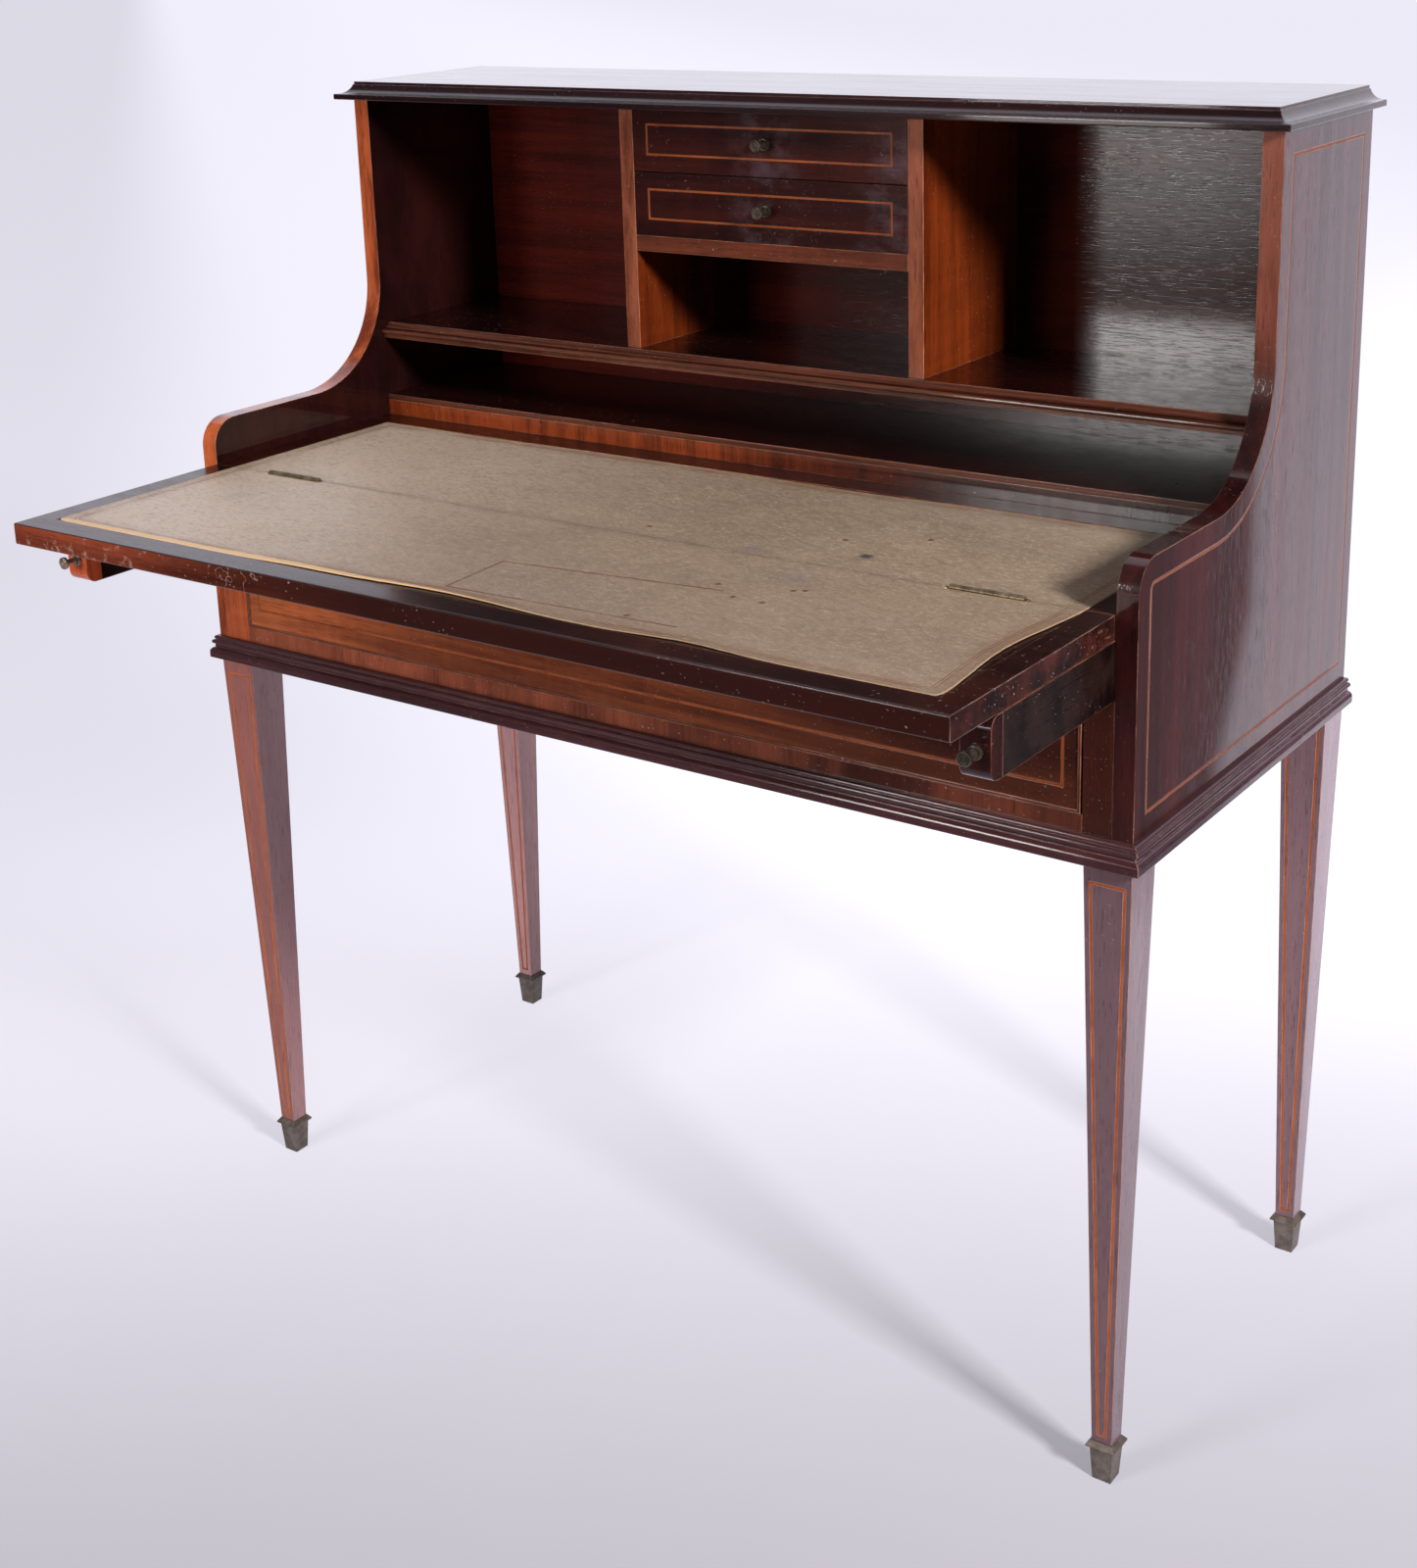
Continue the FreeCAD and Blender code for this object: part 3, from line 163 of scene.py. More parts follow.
class Shade:
    """A node tree, with a short call for each kind of node it needs."""

    def __init__(self, owner):
        owner.use_nodes = True
        self.tree = owner.node_tree
        self.tree.nodes.clear()
        self.place = self.add("ShaderNodeTexCoord")

    def add(self, kind, **settings):
        """Add a node and set its plain settings."""
        node = self.tree.nodes.new(kind)
        for name, setting in settings.items():
            setattr(node, name, setting)
        return node

    def join(self, source, target):
        """Link a source into a target, or set the target's own value."""
        if isinstance(source, bpy.types.NodeSocket):
            self.tree.links.new(source, target)
        elif hasattr(source, "__len__") and len(source) == 3 and target.type == "RGBA":
            target.default_value = (*source, 1.0)
        else:
            target.default_value = source

    def math(self, operation, *values, clamp=False):
        """Arithmetic on one to three values."""
        node = self.add("ShaderNodeMath", operation=operation, use_clamp=clamp)
        for value, target in zip(values, node.inputs):
            self.join(value, target)
        return node.outputs[0]

    def times(self, first, second):
        """The product of two values."""
        return self.math("MULTIPLY", first, second)

    def vector(self, operation, *values, out="Vector"):
        """Arithmetic on vectors."""
        node = self.add("ShaderNodeVectorMath", operation=operation)
        for value, target in zip(values, node.inputs):
            self.join(value, target)
        return node.outputs[out]

    def axes(self, source):
        """Split a vector into its x, y and z."""
        node = self.add("ShaderNodeSeparateXYZ")
        self.join(source, node.inputs[0])
        return node.outputs

    def along(self, axis, source="Object"):
        """One coordinate of a point on the piece, or one part of its normal."""
        return self.axes(self.place.outputs[source])["xyz".index(axis)]

    def stretched(self, scale, turn=(0, 0, 0), shift=(0, 0, 0)):
        """Object coordinates, turned back and then scaled up."""
        node = self.add("ShaderNodeMapping", vector_type="TEXTURE")
        self.join(self.place.outputs["Object"], node.inputs["Vector"])
        node.inputs["Location"].default_value = shift
        node.inputs["Rotation"].default_value = [math.radians(angle) for angle in turn]
        node.inputs["Scale"].default_value = [1 / part for part in scale]
        return node.outputs[0]

    def noise(self, where, scale=1.0, detail=3.0, rough=0.5, bend=0.0):
        """Cloudy noise from 0 to 1."""
        node = self.add("ShaderNodeTexNoise")
        self.join(where, node.inputs["Vector"])
        node.inputs["Scale"].default_value = scale
        node.inputs["Detail"].default_value = detail
        node.inputs["Roughness"].default_value = rough
        node.inputs["Distortion"].default_value = bend
        return node.outputs["Fac"]

    def cloud(self, scale, turn=(0, 0, 0), shift=(0, 0, 0), **settings):
        """Noise in object coordinates, turned back and then scaled up."""
        return self.noise(self.stretched(scale, turn, shift), **settings)

    def cells(self, where, scale):
        """Distance to scattered points."""
        node = self.add("ShaderNodeTexVoronoi")
        self.join(where, node.inputs["Vector"])
        node.inputs["Scale"].default_value = scale
        return node.outputs["Distance"]

    def ramp(self, value, low, high, start=0.0, end=1.0):
        """Carry a value from one range to another, smoothly."""
        node = self.add("ShaderNodeMapRange", interpolation_type="SMOOTHSTEP")
        for name, number in (("From Min", low), ("From Max", high), ("To Min", start), ("To Max", end)):
            node.inputs[name].default_value = number
        self.join(value, node.inputs["Value"])
        return node.outputs[0]

    def mix(self, share, first, second):
        """Mix two colours."""
        node = self.add("ShaderNodeMix", data_type="RGBA")
        self.join(share, node.inputs[0])
        self.join(first, node.inputs[6])
        self.join(second, node.inputs[7])
        return node.outputs[2]

    def bump(self, height, distance, strength=1.0, under=None):
        """Turn a height into a normal."""
        node = self.add("ShaderNodeBump")
        node.inputs["Strength"].default_value = strength
        node.inputs["Distance"].default_value = distance
        self.join(height, node.inputs["Height"])
        if under is not None:
            self.join(under, node.inputs["Normal"])
        return node.outputs[0]

    def rays(self):
        """1 where the camera sees straight or through glass, and 1 where polish mirrors."""
        path = self.add("ShaderNodeLightPath").outputs
        direct = self.math("MAXIMUM", path["Is Camera Ray"], path["Is Transmission Ray"])
        return direct, path["Is Glossy Ray"]

    def worn_edge(self, radius):
        """1 on an arris and 0 on a flat, with a softened normal."""
        soft = self.add("ShaderNodeBevel", samples=4)
        soft.inputs["Radius"].default_value = radius
        flat = self.add("ShaderNodeNewGeometry")
        near = self.vector("DOT_PRODUCT", soft.outputs[0], flat.outputs["True Normal"], out="Value")
        return self.ramp(near, 0.995, 0.86), soft.outputs[0]

    def line(self, start, end, width):
        """1 on a straight line between two points of the piece, and 0 away from it."""
        run = Vector(end) - Vector(start)
        offset = self.vector("SUBTRACT", self.place.outputs["Object"], start)
        along = self.vector("DOT_PRODUCT", offset, tuple(run), out="Value")
        along = self.math("DIVIDE", along, run.length_squared, clamp=True)
        reach = self.add("ShaderNodeVectorMath", operation="SCALE")
        reach.inputs[0].default_value = run
        self.join(along, reach.inputs["Scale"])
        away = self.vector("DISTANCE", offset, reach.outputs[0], out="Value")
        return self.ramp(away, width, width * 0.3)

    def spot(self, centre, radius, soft=0.4):
        """1 inside a round spot and 0 outside it."""
        away = self.vector("DISTANCE", self.place.outputs["Object"], centre, out="Value")
        return self.ramp(away, radius, radius * (1 - soft))


class Surface(Shade):
    """The node tree of a new material, with its surface shader."""

    def __init__(self, name):
        self.material = bpy.data.materials.new(name)
        super().__init__(self.material)
        self.output = self.add("ShaderNodeOutputMaterial")
        self.surface = self.add("ShaderNodeBsdfPrincipled")
        self.join(self.surface.outputs["BSDF"], self.output.inputs["Surface"])

    def finish(self, base, rough, normal=None, **fixed):
        """Set the surface. Numbers go straight on its sockets."""
        self.join(base, self.surface.inputs["Base Color"])
        self.join(rough, self.surface.inputs["Roughness"])
        if normal is not None:
            self.join(normal, self.surface.inputs["Normal"])
            self.join(normal, self.surface.inputs["Coat Normal"])
        for name, number in fixed.items():
            label = name.replace("_", " ").title().replace("Ior", "IOR")
            self.surface.inputs[label].default_value = number
        return self.material


def use(material, *nodes):
    """Give pieces a material in every slot."""
    for name in nodes:
        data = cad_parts[name].data
        data.materials.clear()
        data.materials.append(material)


# ---------------------------------------------------------------- wood

GRAIN_TURNS = {
    "x": (0, 0, 0),
    "y": (0, 0, 90),
    "z": (0, -90, 0),
}
# linear colour of specks, nicks and scratches
DUST = (0.42, 0.34, 0.31)
# how far in from an arris its wear reaches, in metres
WOOD_ARRIS = 0.0013
LINE_ARRIS = 0.0005
BRASS_ARRIS = 0.0006
# below this much clear polish, the open grain no longer shows in it
THIN_POLISH = 0.5
# how long and how fine the ripples in the polish are, per metre, and how deep
FLAT_POLISH = (5, 70, 0.000008)


def grain(shade, axis, seed, figure, coarse):
    """Mahogany grain along one axis: drifting colour, ribbon figure and open pores."""
    turn = GRAIN_TURNS[axis]
    shift = (seed * 1.37, seed * 0.71, seed * 2.13)
    drift = shade.cloud((1.6, 9, 9), turn, shift, detail=2, bend=0.6)
    ribbon = shade.cloud((2.5 * coarse, 60 * coarse, 60 * coarse), turn, shift,
                         detail=7, rough=0.68, bend=0.5)
    mottle = shade.cloud((60, 9, 9), turn, shift, detail=2, bend=0.8)
    pores = shade.cloud((45, 800, 800), turn, shift, detail=2, rough=0.7)
    tone = shade.math("MULTIPLY_ADD", drift, 0.7, -0.35)
    tone = shade.math("MULTIPLY_ADD", ribbon, 0.9, tone)
    tone = shade.math("MULTIPLY_ADD", mottle, figure, shade.math("SUBTRACT", tone, figure / 2))
    return shade.ramp(tone, 0.12, 0.8), shade.ramp(pores, 0.54, 0.7)


def wood(name, dark, light, axis, seed, rough=0.2, shine=1.0, figure=0.2, edge=None,
         edge_share=0.85, pore_depth=0.000012, ripple=FLAT_POLISH, wear=1.0, coarse=1.0,
         mirror=0.1, open_grain=0.2, clean=None, over=()):
    """A polished wood. The seed moves its grain along. Each function in over changes the colour
    of some of its faces, and faces that look the clean way have no marks. Shine is how much clear
    polish lies over it, mirror is the roughness of that polish, and open grain is how much of it
    the pores take away."""
    shade = Surface(name)
    settings = bpy.context.scene.desk.wood
    tone, pores = grain(shade, axis, seed, figure, coarse)
    base = shade.mix(tone, dark, light)
    for change in over:
        base = change(shade, base)
    base = shade.mix(shade.times(pores, 0.5), base, tuple(part * 0.3 for part in dark))
    # worn arrises: paler where the polish has rubbed through, and also a painted highlight along the
    # edges
    arris, soft = shade.worn_edge(WOOD_ARRIS)
    rubbed = shade.cloud((45, 45, 45), shift=(seed, 0, 0), detail=4)
    rubbed = shade.times(arris, shade.ramp(rubbed, 0.34, 0.66, 0.25, 1.0))
    base = shade.mix(shade.times(rubbed, edge_share), base, edge or settings.arris)
    amount = wear * settings.wear
    if clean is not None:
        amount = shade.times(shade.math("SUBTRACT", 1.0, looks(shade, *clean)), amount)
    specks, lines = marks(shade, seed, amount)
    base = shade.mix(shade.math("MAXIMUM", specks, lines), base, DUST)
    gloss = dulled(shade, seed, rough, lines, pores)
    along, fine, depth = ripple
    wave = shade.cloud((along, fine, fine), GRAIN_TURNS[axis], (seed, seed, 0), detail=3)
    normal = shade.bump(wave, depth, 1.0, soft)
    normal = shade.bump(shade.times(pores, -1.0), pore_depth, 0.6, normal)
    clear_polish(shade, 0.92 * shine * settings.polish, pores, wave, open_grain)
    return shade.finish(base, gloss, normal, coat_roughness=mirror, coat_ior=1.5,
                        specular_ior_level=0.06)


def dulled(shade, seed, rough, lines, pores):
    """Roughness under the clear polish: cloudy, and higher in scratches and pores."""
    cloud = shade.cloud((7, 7, 7), shift=(0, seed, 0), detail=4, rough=0.6)
    gloss = shade.math("MULTIPLY_ADD", cloud, 0.16, rough - 0.08)
    gloss = shade.math("MULTIPLY_ADD", lines, 0.2, gloss)
    return shade.math("MULTIPLY_ADD", pores, 0.12, gloss)


def clear_polish(shade, coat, pores, wave, open_grain):
    """Clear polish, thinner in the open grain. A well polished piece has none on its back."""
    weight = shade.surface.inputs["Coat Weight"]
    if coat > THIN_POLISH:
        grainy = shade.math("MAXIMUM", pores, shade.ramp(wave, 0.46, 0.62))
        grainy = shade.math("MULTIPLY_ADD", grainy, -open_grain * coat, coat)
        shade.join(shade.times(grainy, shade.math("SUBTRACT", 1.0, looks(shade, "y", 1))), weight)
    else:
        weight.default_value = coat


def marks(shade, seed, amount):
    """Tiny pale specks, crooked nicks and fine scratches, in patches."""
    where = shade.stretched((1, 1, 1), shift=(seed * 0.3, seed * 0.5, seed * 0.7))
    patch = shade.ramp(shade.noise(where, 8, 2), 0.46, 0.66, 0.1, 1.0)
    specks = shade.times(shade.ramp(shade.cells(where, 190), 0.1, 0.04), 0.8)
    crooked = shade.cloud((120, 120, 120), shift=(seed, seed, 0), detail=3, rough=0.7)
    nicks = shade.times(shade.ramp(crooked, 0.7, 0.76), 0.7)
    specks = shade.times(shade.math("MAXIMUM", specks, nicks), patch)
    specks = shade.times(specks, amount)
    lines = None
    for turn, spot in (((12, 25, 38), 3.1), ((61, -18, -52), 5.7)):
        thin = shade.stretched((24, 500, 500), turn, (seed * spot, 0, 0))
        streak = shade.ramp(shade.noise(thin, 1.0, 1, 0.4), 0.72, 0.76)
        few = shade.cloud((5, 5, 5), shift=(spot, seed, 0), detail=1)
        streak = shade.times(streak, shade.ramp(few, 0.48, 0.6))
        lines = streak if lines is None else shade.math("MAXIMUM", lines, streak)
    return specks, shade.times(lines, shade.times(amount, 0.8))


def looks(shade, axis, way):
    """1 on the faces that look one way along an axis, and 0 on the others."""
    side = shade.along(axis, "Normal")
    return shade.ramp(shade.times(side, way), 0.4, 0.62)


def facing(axis, way, tone):
    """Colour only the faces that look one way along an axis."""
    def change(shade, base):
        return shade.mix(looks(shade, axis, way), base, tone(shade))
    return change


def two_tone(first, second, scale, seed):
    """A patchy mix of two colours."""
    def tone(shade):
        cloud = shade.cloud(scale, shift=(seed, 0, 0), detail=5, rough=0.65)
        return shade.mix(shade.ramp(cloud, 0.36, 0.64), first, second)
    return tone


def by_height(below, above, low, high):
    """One tone below a height, passing to another above it."""
    def tone(shade):
        height = shade.along("z")
        return shade.mix(shade.ramp(height, low, high), below(shade), above(shade))
    return tone


def shaded_right(strength, start=-0.42, end=0.3):
    """Painted shade: the colour darkens towards the right of the desk, where less light falls."""
    def change(shade, base):
        across = shade.along("x")
        # painted shade: a dark colour mixed in, more of it further to the right
        return shade.mix(shade.ramp(across, start, end, 0.0, strength), base, paint(27, 9, 8))
    return change


def fiddleback(middle, reach, pitch, tone):
    """Bright bars of rippled figure across part of a long piece."""
    def change(shade, base):
        across = shade.along("x")
        wander = shade.cloud((14, 14, 14), detail=3)
        turns = shade.math("MULTIPLY_ADD", across, math.tau / pitch, shade.times(wander, 9.0))
        bars = shade.ramp(shade.math("SINE", turns), -0.6, 0.7, 0.25, 1.0)
        away = shade.math("ABSOLUTE", shade.math("SUBTRACT", across, middle))
        share = shade.times(bars, shade.ramp(away, reach, reach * 0.6))
        return shade.mix(share, base, tone)
    return change


def painted_sheen(axis, way, strength):
    """Painted sheen: a milky pale reflection painted on the faces that look one way."""
    def change(shade, base):
        cloud = shade.cloud((14, 14, 5), detail=3)
        share = shade.times(looks(shade, axis, way), shade.ramp(cloud, 0.3, 0.6, 0.8, 1.0))
        # the pale lavender colour is the painted sheen
        return shade.mix(shade.times(share, strength), base, paint(150, 132, 145))
    return change


class DESK_OT_case_wood(bpy.types.Operator):
    """Polish the mahogany of the case, top and cabinet"""
    bl_idname = "desk.case_wood"
    bl_label = "Case wood"

    def execute(self, context):
        tint = context.scene.desk.wood
        self.end_panels(tint)
        use(wood("top_wood", paint(20, 7, 10), paint(44, 18, 19), "x", 11, rough=0.3, mirror=0.06,
                 wear=0.5, open_grain=0.06, edge=paint(124, 82, 74), edge_share=0.45), "top_board")
        for name, shine in (("upper_shelf", 1.0), ("lower_shelf", 0.52)):
            use(wood(f"{name}_wood", tint.inside, paint(40, 13, 11), "x", 12, rough=0.3, mirror=0.05,
                     shine=shine, edge=paint(170, 118, 94),
                     over=[self.warm_front, shaded_right(0.35, 0.0, 0.4)]), name)
        back = facing("y", 1, two_tone(paint(88, 56, 36), paint(112, 74, 48), (3, 9, 40), 13))
        use(wood("back_wood", paint(30, 9, 8), paint(88, 26, 17), "x", 13, rough=0.3, figure=0.1,
                 pore_depth=0.00005, ripple=(60, 620, 0.000017), mirror=0.14, open_grain=0.3, wear=0.3,
                 over=[shaded_right(0.65, -0.32, 0.02), back]), "upper_back")
        use(wood("riser_wood", paint(58, 20, 9), paint(154, 68, 32), "z", 14, figure=0.3, rough=0.3,
                 edge=paint(176, 128, 106), over=[fiddleback(-0.27, 0.14, 0.024, paint(124, 54, 25)),
                                                  shaded_right(0.95, -0.25, 0.25)]), "riser_rail")
        front = facing("y", -1, two_tone(paint(78, 34, 20), paint(130, 72, 50), (30, 30, 6), 3))
        # the divider's colours are more orange than the wood alone, as painted light bounced off the red
        # wood round it
        use(wood("divider_wood", paint(58, 18, 6), paint(122, 50, 18), "z", 15, rough=0.36, shine=0.5,
                 edge=paint(186, 136, 108), coarse=0.8, over=[front]), "divider_left", "divider_right")
        use(wood("bay_shelf_wood", paint(58, 25, 16), paint(112, 56, 36), "x", 16, rough=0.3,
                 edge=paint(190, 134, 104)), "small_drawer_shelf")
        return {"FINISHED"}

    def end_panels(self, tint):
        """Veneered outside, dark inside, and a banded edge with painted light and shade: paler and more
        orange on the left, and on the right darker low down and paler towards the top.
        """
        # the left edge is painted lit; the right edge has painted shade below 0.84 m
        left = two_tone(paint(104, 42, 20), paint(178, 88, 48), (30, 30, 4), 5)
        right = by_height(two_tone(paint(27, 9, 9), paint(48, 18, 16), (30, 30, 4), 5),
                          two_tone(paint(74, 36, 27), paint(112, 62, 48), (30, 30, 4), 6), 0.84, 0.93)
        for side, way, banding in (("left", 1, left), ("right", -1, right)):
            over = [facing("x", way, two_tone(paint(22, 8, 9), paint(42, 16, 14), (9, 9, 3), 2)),
                    facing("y", -1, banding), facing("z", 1, banding)]
            use(wood(f"{side}_panel_wood", tint.dark, tint.warm, "z", 3 + way, rough=0.3, figure=0.1,
                     ripple=(2.5, 90, 0.000006), mirror=0.03, open_grain=0.1,
                     edge=paint(176, 126, 104), edge_share=0.6, wear=0.4, clean=("x", way), over=over),
                f"end_panel_{side}")

    def warm_front(self, shade, base):
        """Give the moulded front faces a warmer, streaked tone than the top."""
        front = shade.along("y", "Normal")
        lines = shade.cloud((4, 300, 300), detail=4, rough=0.6)
        tone = shade.mix(shade.ramp(lines, 0.3, 0.7), paint(50, 24, 17), paint(104, 58, 41))
        return shade.mix(shade.ramp(front, -0.15, -0.5, 0.0, 0.9), base, tone)


class DESK_OT_drawer_wood(bpy.types.Operator):
    """Polish the drawer case, the drawer fronts and the linings"""
    bl_idname = "desk.drawer_wood"
    bl_label = "Drawer wood"

    def execute(self, context):
        tint = context.scene.desk.wood
        use(wood("stile_wood", paint(102, 38, 20), paint(182, 90, 50), "z", 21, wear=0.4,
                 edge_share=0.15, over=[shaded_right(0.95)]), "front_stiles")
        use(wood("rail_wood", paint(60, 24, 16), paint(138, 72, 48), "z", 22, figure=0.1, coarse=0.45,
                 edge=paint(176, 120, 96), edge_share=0.5, over=[shaded_right(0.6, -0.2, 0.35)]),
            "bottom_rail")
        for name, axis, tail, dark, light in (("front", "x", "front", (36, 17, 20), (76, 41, 43)),
                                              ("side", "y", "sides", (37, 21, 26), (72, 46, 53))):
            use(wood(f"{name}_moulding_wood", paint(*dark), paint(*light), axis, 23,
                     rough=0.3, edge=paint(150, 118, 110), edge_share=0.7),
                f"base_moulding_{tail}")
        use(wood("frieze_wood", paint(76, 31, 17), paint(172, 92, 52), "x", 25, figure=0.15,
                 coarse=0.8, wear=0.5,
                 over=[shaded_right(0.5, -0.42, -0.05), shaded_right(0.75, -0.05, 0.35)]),
            "frieze_drawer_front")
        use(wood("cockbead_wood", paint(52, 22, 14), paint(108, 54, 36), "x", 26,
                 edge=paint(196, 146, 116), edge_share=0.6, over=[shaded_right(0.4)]),
            "frieze_drawer_cockbead")
        for seed, level in enumerate(("upper", "lower")):
            use(wood(f"{level}_front_wood", paint(24, 8, 8), paint(62, 22, 16), "x", 27 + seed,
                     wear=0.7, edge=paint(70, 34, 26), edge_share=0.5, over=[self.handled]),
                f"{level}_small_drawer_front")
        linings = wood("lining_wood", paint(112, 78, 48), tint.carcase, "y", 31, rough=0.5, shine=0.5,
                       wear=0.4, edge_share=0.2)
        use(linings, "frieze_drawer_box", "upper_small_drawer_box", "lower_small_drawer_box",
            "small_drawer_runners", "drawer_guides", "loper_partitions")
        boards = wood("board_wood", paint(88, 56, 36), tint.carcase, "x", 32, rough=0.55, shine=0.5,
                      wear=0.4, edge_share=0.2)
        use(boards, "frieze_drawer_bottom", "upper_small_drawer_bottom", "lower_small_drawer_bottom",
            "dust_board", "underframe", "lower_back", "loper_stops")
        return {"FINISHED"}

    def handled(self, shade, base):
        """Dull smears where hands have pulled a drawer, round its knob and along its ends."""
        across = shade.along("x")
        near = shade.ramp(shade.math("ABSOLUTE", across), 0.05, 0.005)
        end = shade.ramp(across, 0.08, 0.13)
        smear = shade.ramp(shade.cloud((26, 26, 40), detail=5, rough=0.65), 0.42, 0.66)
        smear = shade.times(smear, shade.math("MAXIMUM", near, end))
        return shade.mix(shade.times(smear, 0.3), base, paint(96, 80, 88))


class DESK_OT_leaf_wood(bpy.types.Operator):
    """Polish the writing leaves and the lopers"""
    bl_idname = "desk.leaf_wood"
    bl_label = "Leaf wood"

    def execute(self, context):
        over = [shaded_right(0.95, -0.47, 0.0), self.drips, facing("x", 1, self.crossbanding),
                facing("x", -1, self.crossbanding),
                facing("z", 1, two_tone(paint(24, 10, 9), paint(44, 20, 16), (6, 30, 6), 8))]
        use(wood("leaf_wood", paint(62, 22, 14), paint(146, 68, 42), "x", 41, rough=0.3, mirror=0.16,
                 figure=0.1, wear=1.4, shine=0.55, edge=paint(176, 136, 120), edge_share=0.6,
                 over=over), "front_leaf")
        use(wood("rear_leaf_wood", paint(26, 10, 8), paint(58, 24, 18), "x", 42, rough=0.3, shine=0.6),
            "rear_leaf")
        use(wood("loper_wood", paint(12, 6, 6), paint(30, 14, 12), "y", 43, rough=0.42, shine=0.3,
                 wear=1.6, over=[facing("x", 1, two_tone(paint(13, 6, 6), paint(32, 19, 17),
                                                         (26, 26, 18), 4))]),
            "loper_left", "loper_right")
        # the left facing is painted lit, pale orange, and the right facing painted in shade, nearly black
        for seed, (side, dark, light) in enumerate((("left", paint(110, 42, 22), paint(186, 84, 48)),
                                                    ("right", paint(20, 8, 9), paint(44, 18, 17)))):
            use(wood(f"{side}_facing_wood", dark, light, "z", 44 + seed, edge=paint(170, 120, 102),
                     edge_share=0.6),
                f"loper_{side}_facing")
        return {"FINISHED"}

    def drips(self, shade, base):
        """Pale scuffs and dried drips along the left of the front edge."""
        across = shade.along("x")
        place = shade.stretched((1, 1, 1))
        bent = shade.cloud((60, 60, 60), detail=2)
        winding = shade.math("MULTIPLY_ADD", bent, 10.0, shade.times(across, 150))
        thread = shade.ramp(shade.math("ABSOLUTE", shade.math("SINE", winding)), 0.14, 0.03)
        few = shade.ramp(shade.noise(place, 21, 1), 0.54, 0.62)
        scuff = shade.ramp(shade.noise(place, 60, 5, 0.7), 0.54, 0.66)
        at_left = shade.ramp(across, -0.24, -0.34)
        scuff = shade.times(scuff, at_left)
        near = shade.ramp(shade.math("ABSOLUTE", shade.math("ADD", across, 0.19)), 0.09, 0.05)
        thread = shade.times(shade.times(thread, few), near)
        share = shade.math("MAXIMUM", shade.times(scuff, 0.4), shade.times(thread, 0.35))
        share = shade.times(share, looks(shade, "y", -1))
        return shade.mix(share, base, paint(176, 146, 136))

    def crossbanding(self, shade):
        """Veneer laid across the ends of the leaf, dark with chips near the back."""
        bars = shade.cloud((8, 110, 14), detail=5, rough=0.7)
        cloud = shade.cloud((20, 34, 60), detail=4, rough=0.65)
        tone = shade.math("MULTIPLY_ADD", cloud, 0.7, shade.times(bars, 0.5))
        base = shade.mix(shade.ramp(tone, 0.46, 0.82), paint(20, 8, 8), paint(62, 28, 22))
        back = shade.along("y")
        chips = shade.ramp(shade.cloud((90, 60, 120), detail=4, rough=0.7), 0.56, 0.68)
        chips = shade.times(chips, shade.ramp(back, -0.2, -0.11, 0.0, 0.6))
        return shade.mix(chips, base, paint(112, 78, 68))


class DESK_OT_leg_wood(bpy.types.Operator):
    """Polish the four faded legs, with painted light, shade and sheen on them"""
    bl_idname = "desk.leg_wood"
    bl_label = "Leg wood"

    def execute(self, context):
        tint = context.scene.desk.wood
        # each leg's light colour, which differs from leg to leg as painted light and shade, and how much
        # painted sheen lies on its right side and on its front
        legs = (("front_left", tint.faded, 0.44, 0.14), ("front_right", paint(78, 42, 40), 0.3, 0.18),
                ("rear_left", paint(234, 154, 136), 0.5, 0.5),
                ("rear_right", paint(100, 60, 58), 0.55, 0.24))
        for seed, (name, light, side_sheen, front_sheen) in enumerate(legs):
            dark = tuple(part * 0.5 for part in light)
            use(wood(f"{name}_leg_wood", dark, light, "z", 51 + seed, rough=0.26, figure=0.05,
                     ripple=(4, 100, 0.00002), edge=paint(190, 140, 122), wear=0.6,
                     over=[painted_sheen("x", 1, side_sheen), painted_sheen("y", -1, front_sheen)]),
                f"{name}_leg")
        return {"FINISHED"}


class DESK_OT_inlay(bpy.types.Operator):
    """Colour the inlaid lines"""
    bl_idname = "desk.inlay"
    bl_label = "Inlaid lines"

    def execute(self, context):
        use(self.line("stringing", 1.0), "panel_stringing", "frieze_drawer_stringing")
        use(self.line("dim_stringing", 0.9), "upper_small_drawer_stringing",
            "lower_small_drawer_stringing")
        use(self.line("leg_line", 1.85), "leg_stringing")
        return {"FINISHED"}

    def line(self, name, level):
        """A line of boxwood, lighter or darker than the rest by a level, with painted shade towards the
        right of the desk.
        """
        tint = bpy.context.scene.desk.inlay
        shade = Surface(name)
        long_tone = shade.cloud((14, 14, 14), detail=4, rough=0.6)
        fine = shade.cloud((420, 420, 60), detail=2)
        tone = shade.math("MULTIPLY_ADD", fine, 0.4, shade.times(long_tone, 0.8))
        base = shade.mix(shade.ramp(tone, 0.35, 0.85), tuple(part * level for part in tint.dark),
                         tuple(part * level for part in tint.light))
        # painted shade: the line darkens towards the right of the desk
        across = shade.along("x")
        base = shade.mix(shade.ramp(across, 0.15, 0.42, 0.0, 0.5), base,
                         tuple(part * level * 0.6 for part in tint.dark))
        soft = shade.worn_edge(LINE_ARRIS)[1]
        return shade.finish(base, shade.ramp(long_tone, 0.3, 0.8, 0.24, 0.4),
                            shade.bump(fine, 0.00005, 0.5, soft), specular_ior_level=0.2)


# each knob and how bright its brass is, partly painted light and shade: the left loper's knob painted
# lit, the right loper's knob painted in shade
KNOBS = {"loper_left_knob": 1.1, "loper_right_knob": 0.3, "upper_small_drawer_knob": 0.36,
         "lower_small_drawer_knob": 0.36, "frieze_drawer_knobs": 0.4}
# radius of a knob's foot, and how far apart its turned rings are, in metres
ROSETTE_RADIUS = 0.006
RING_PITCH = 0.0022


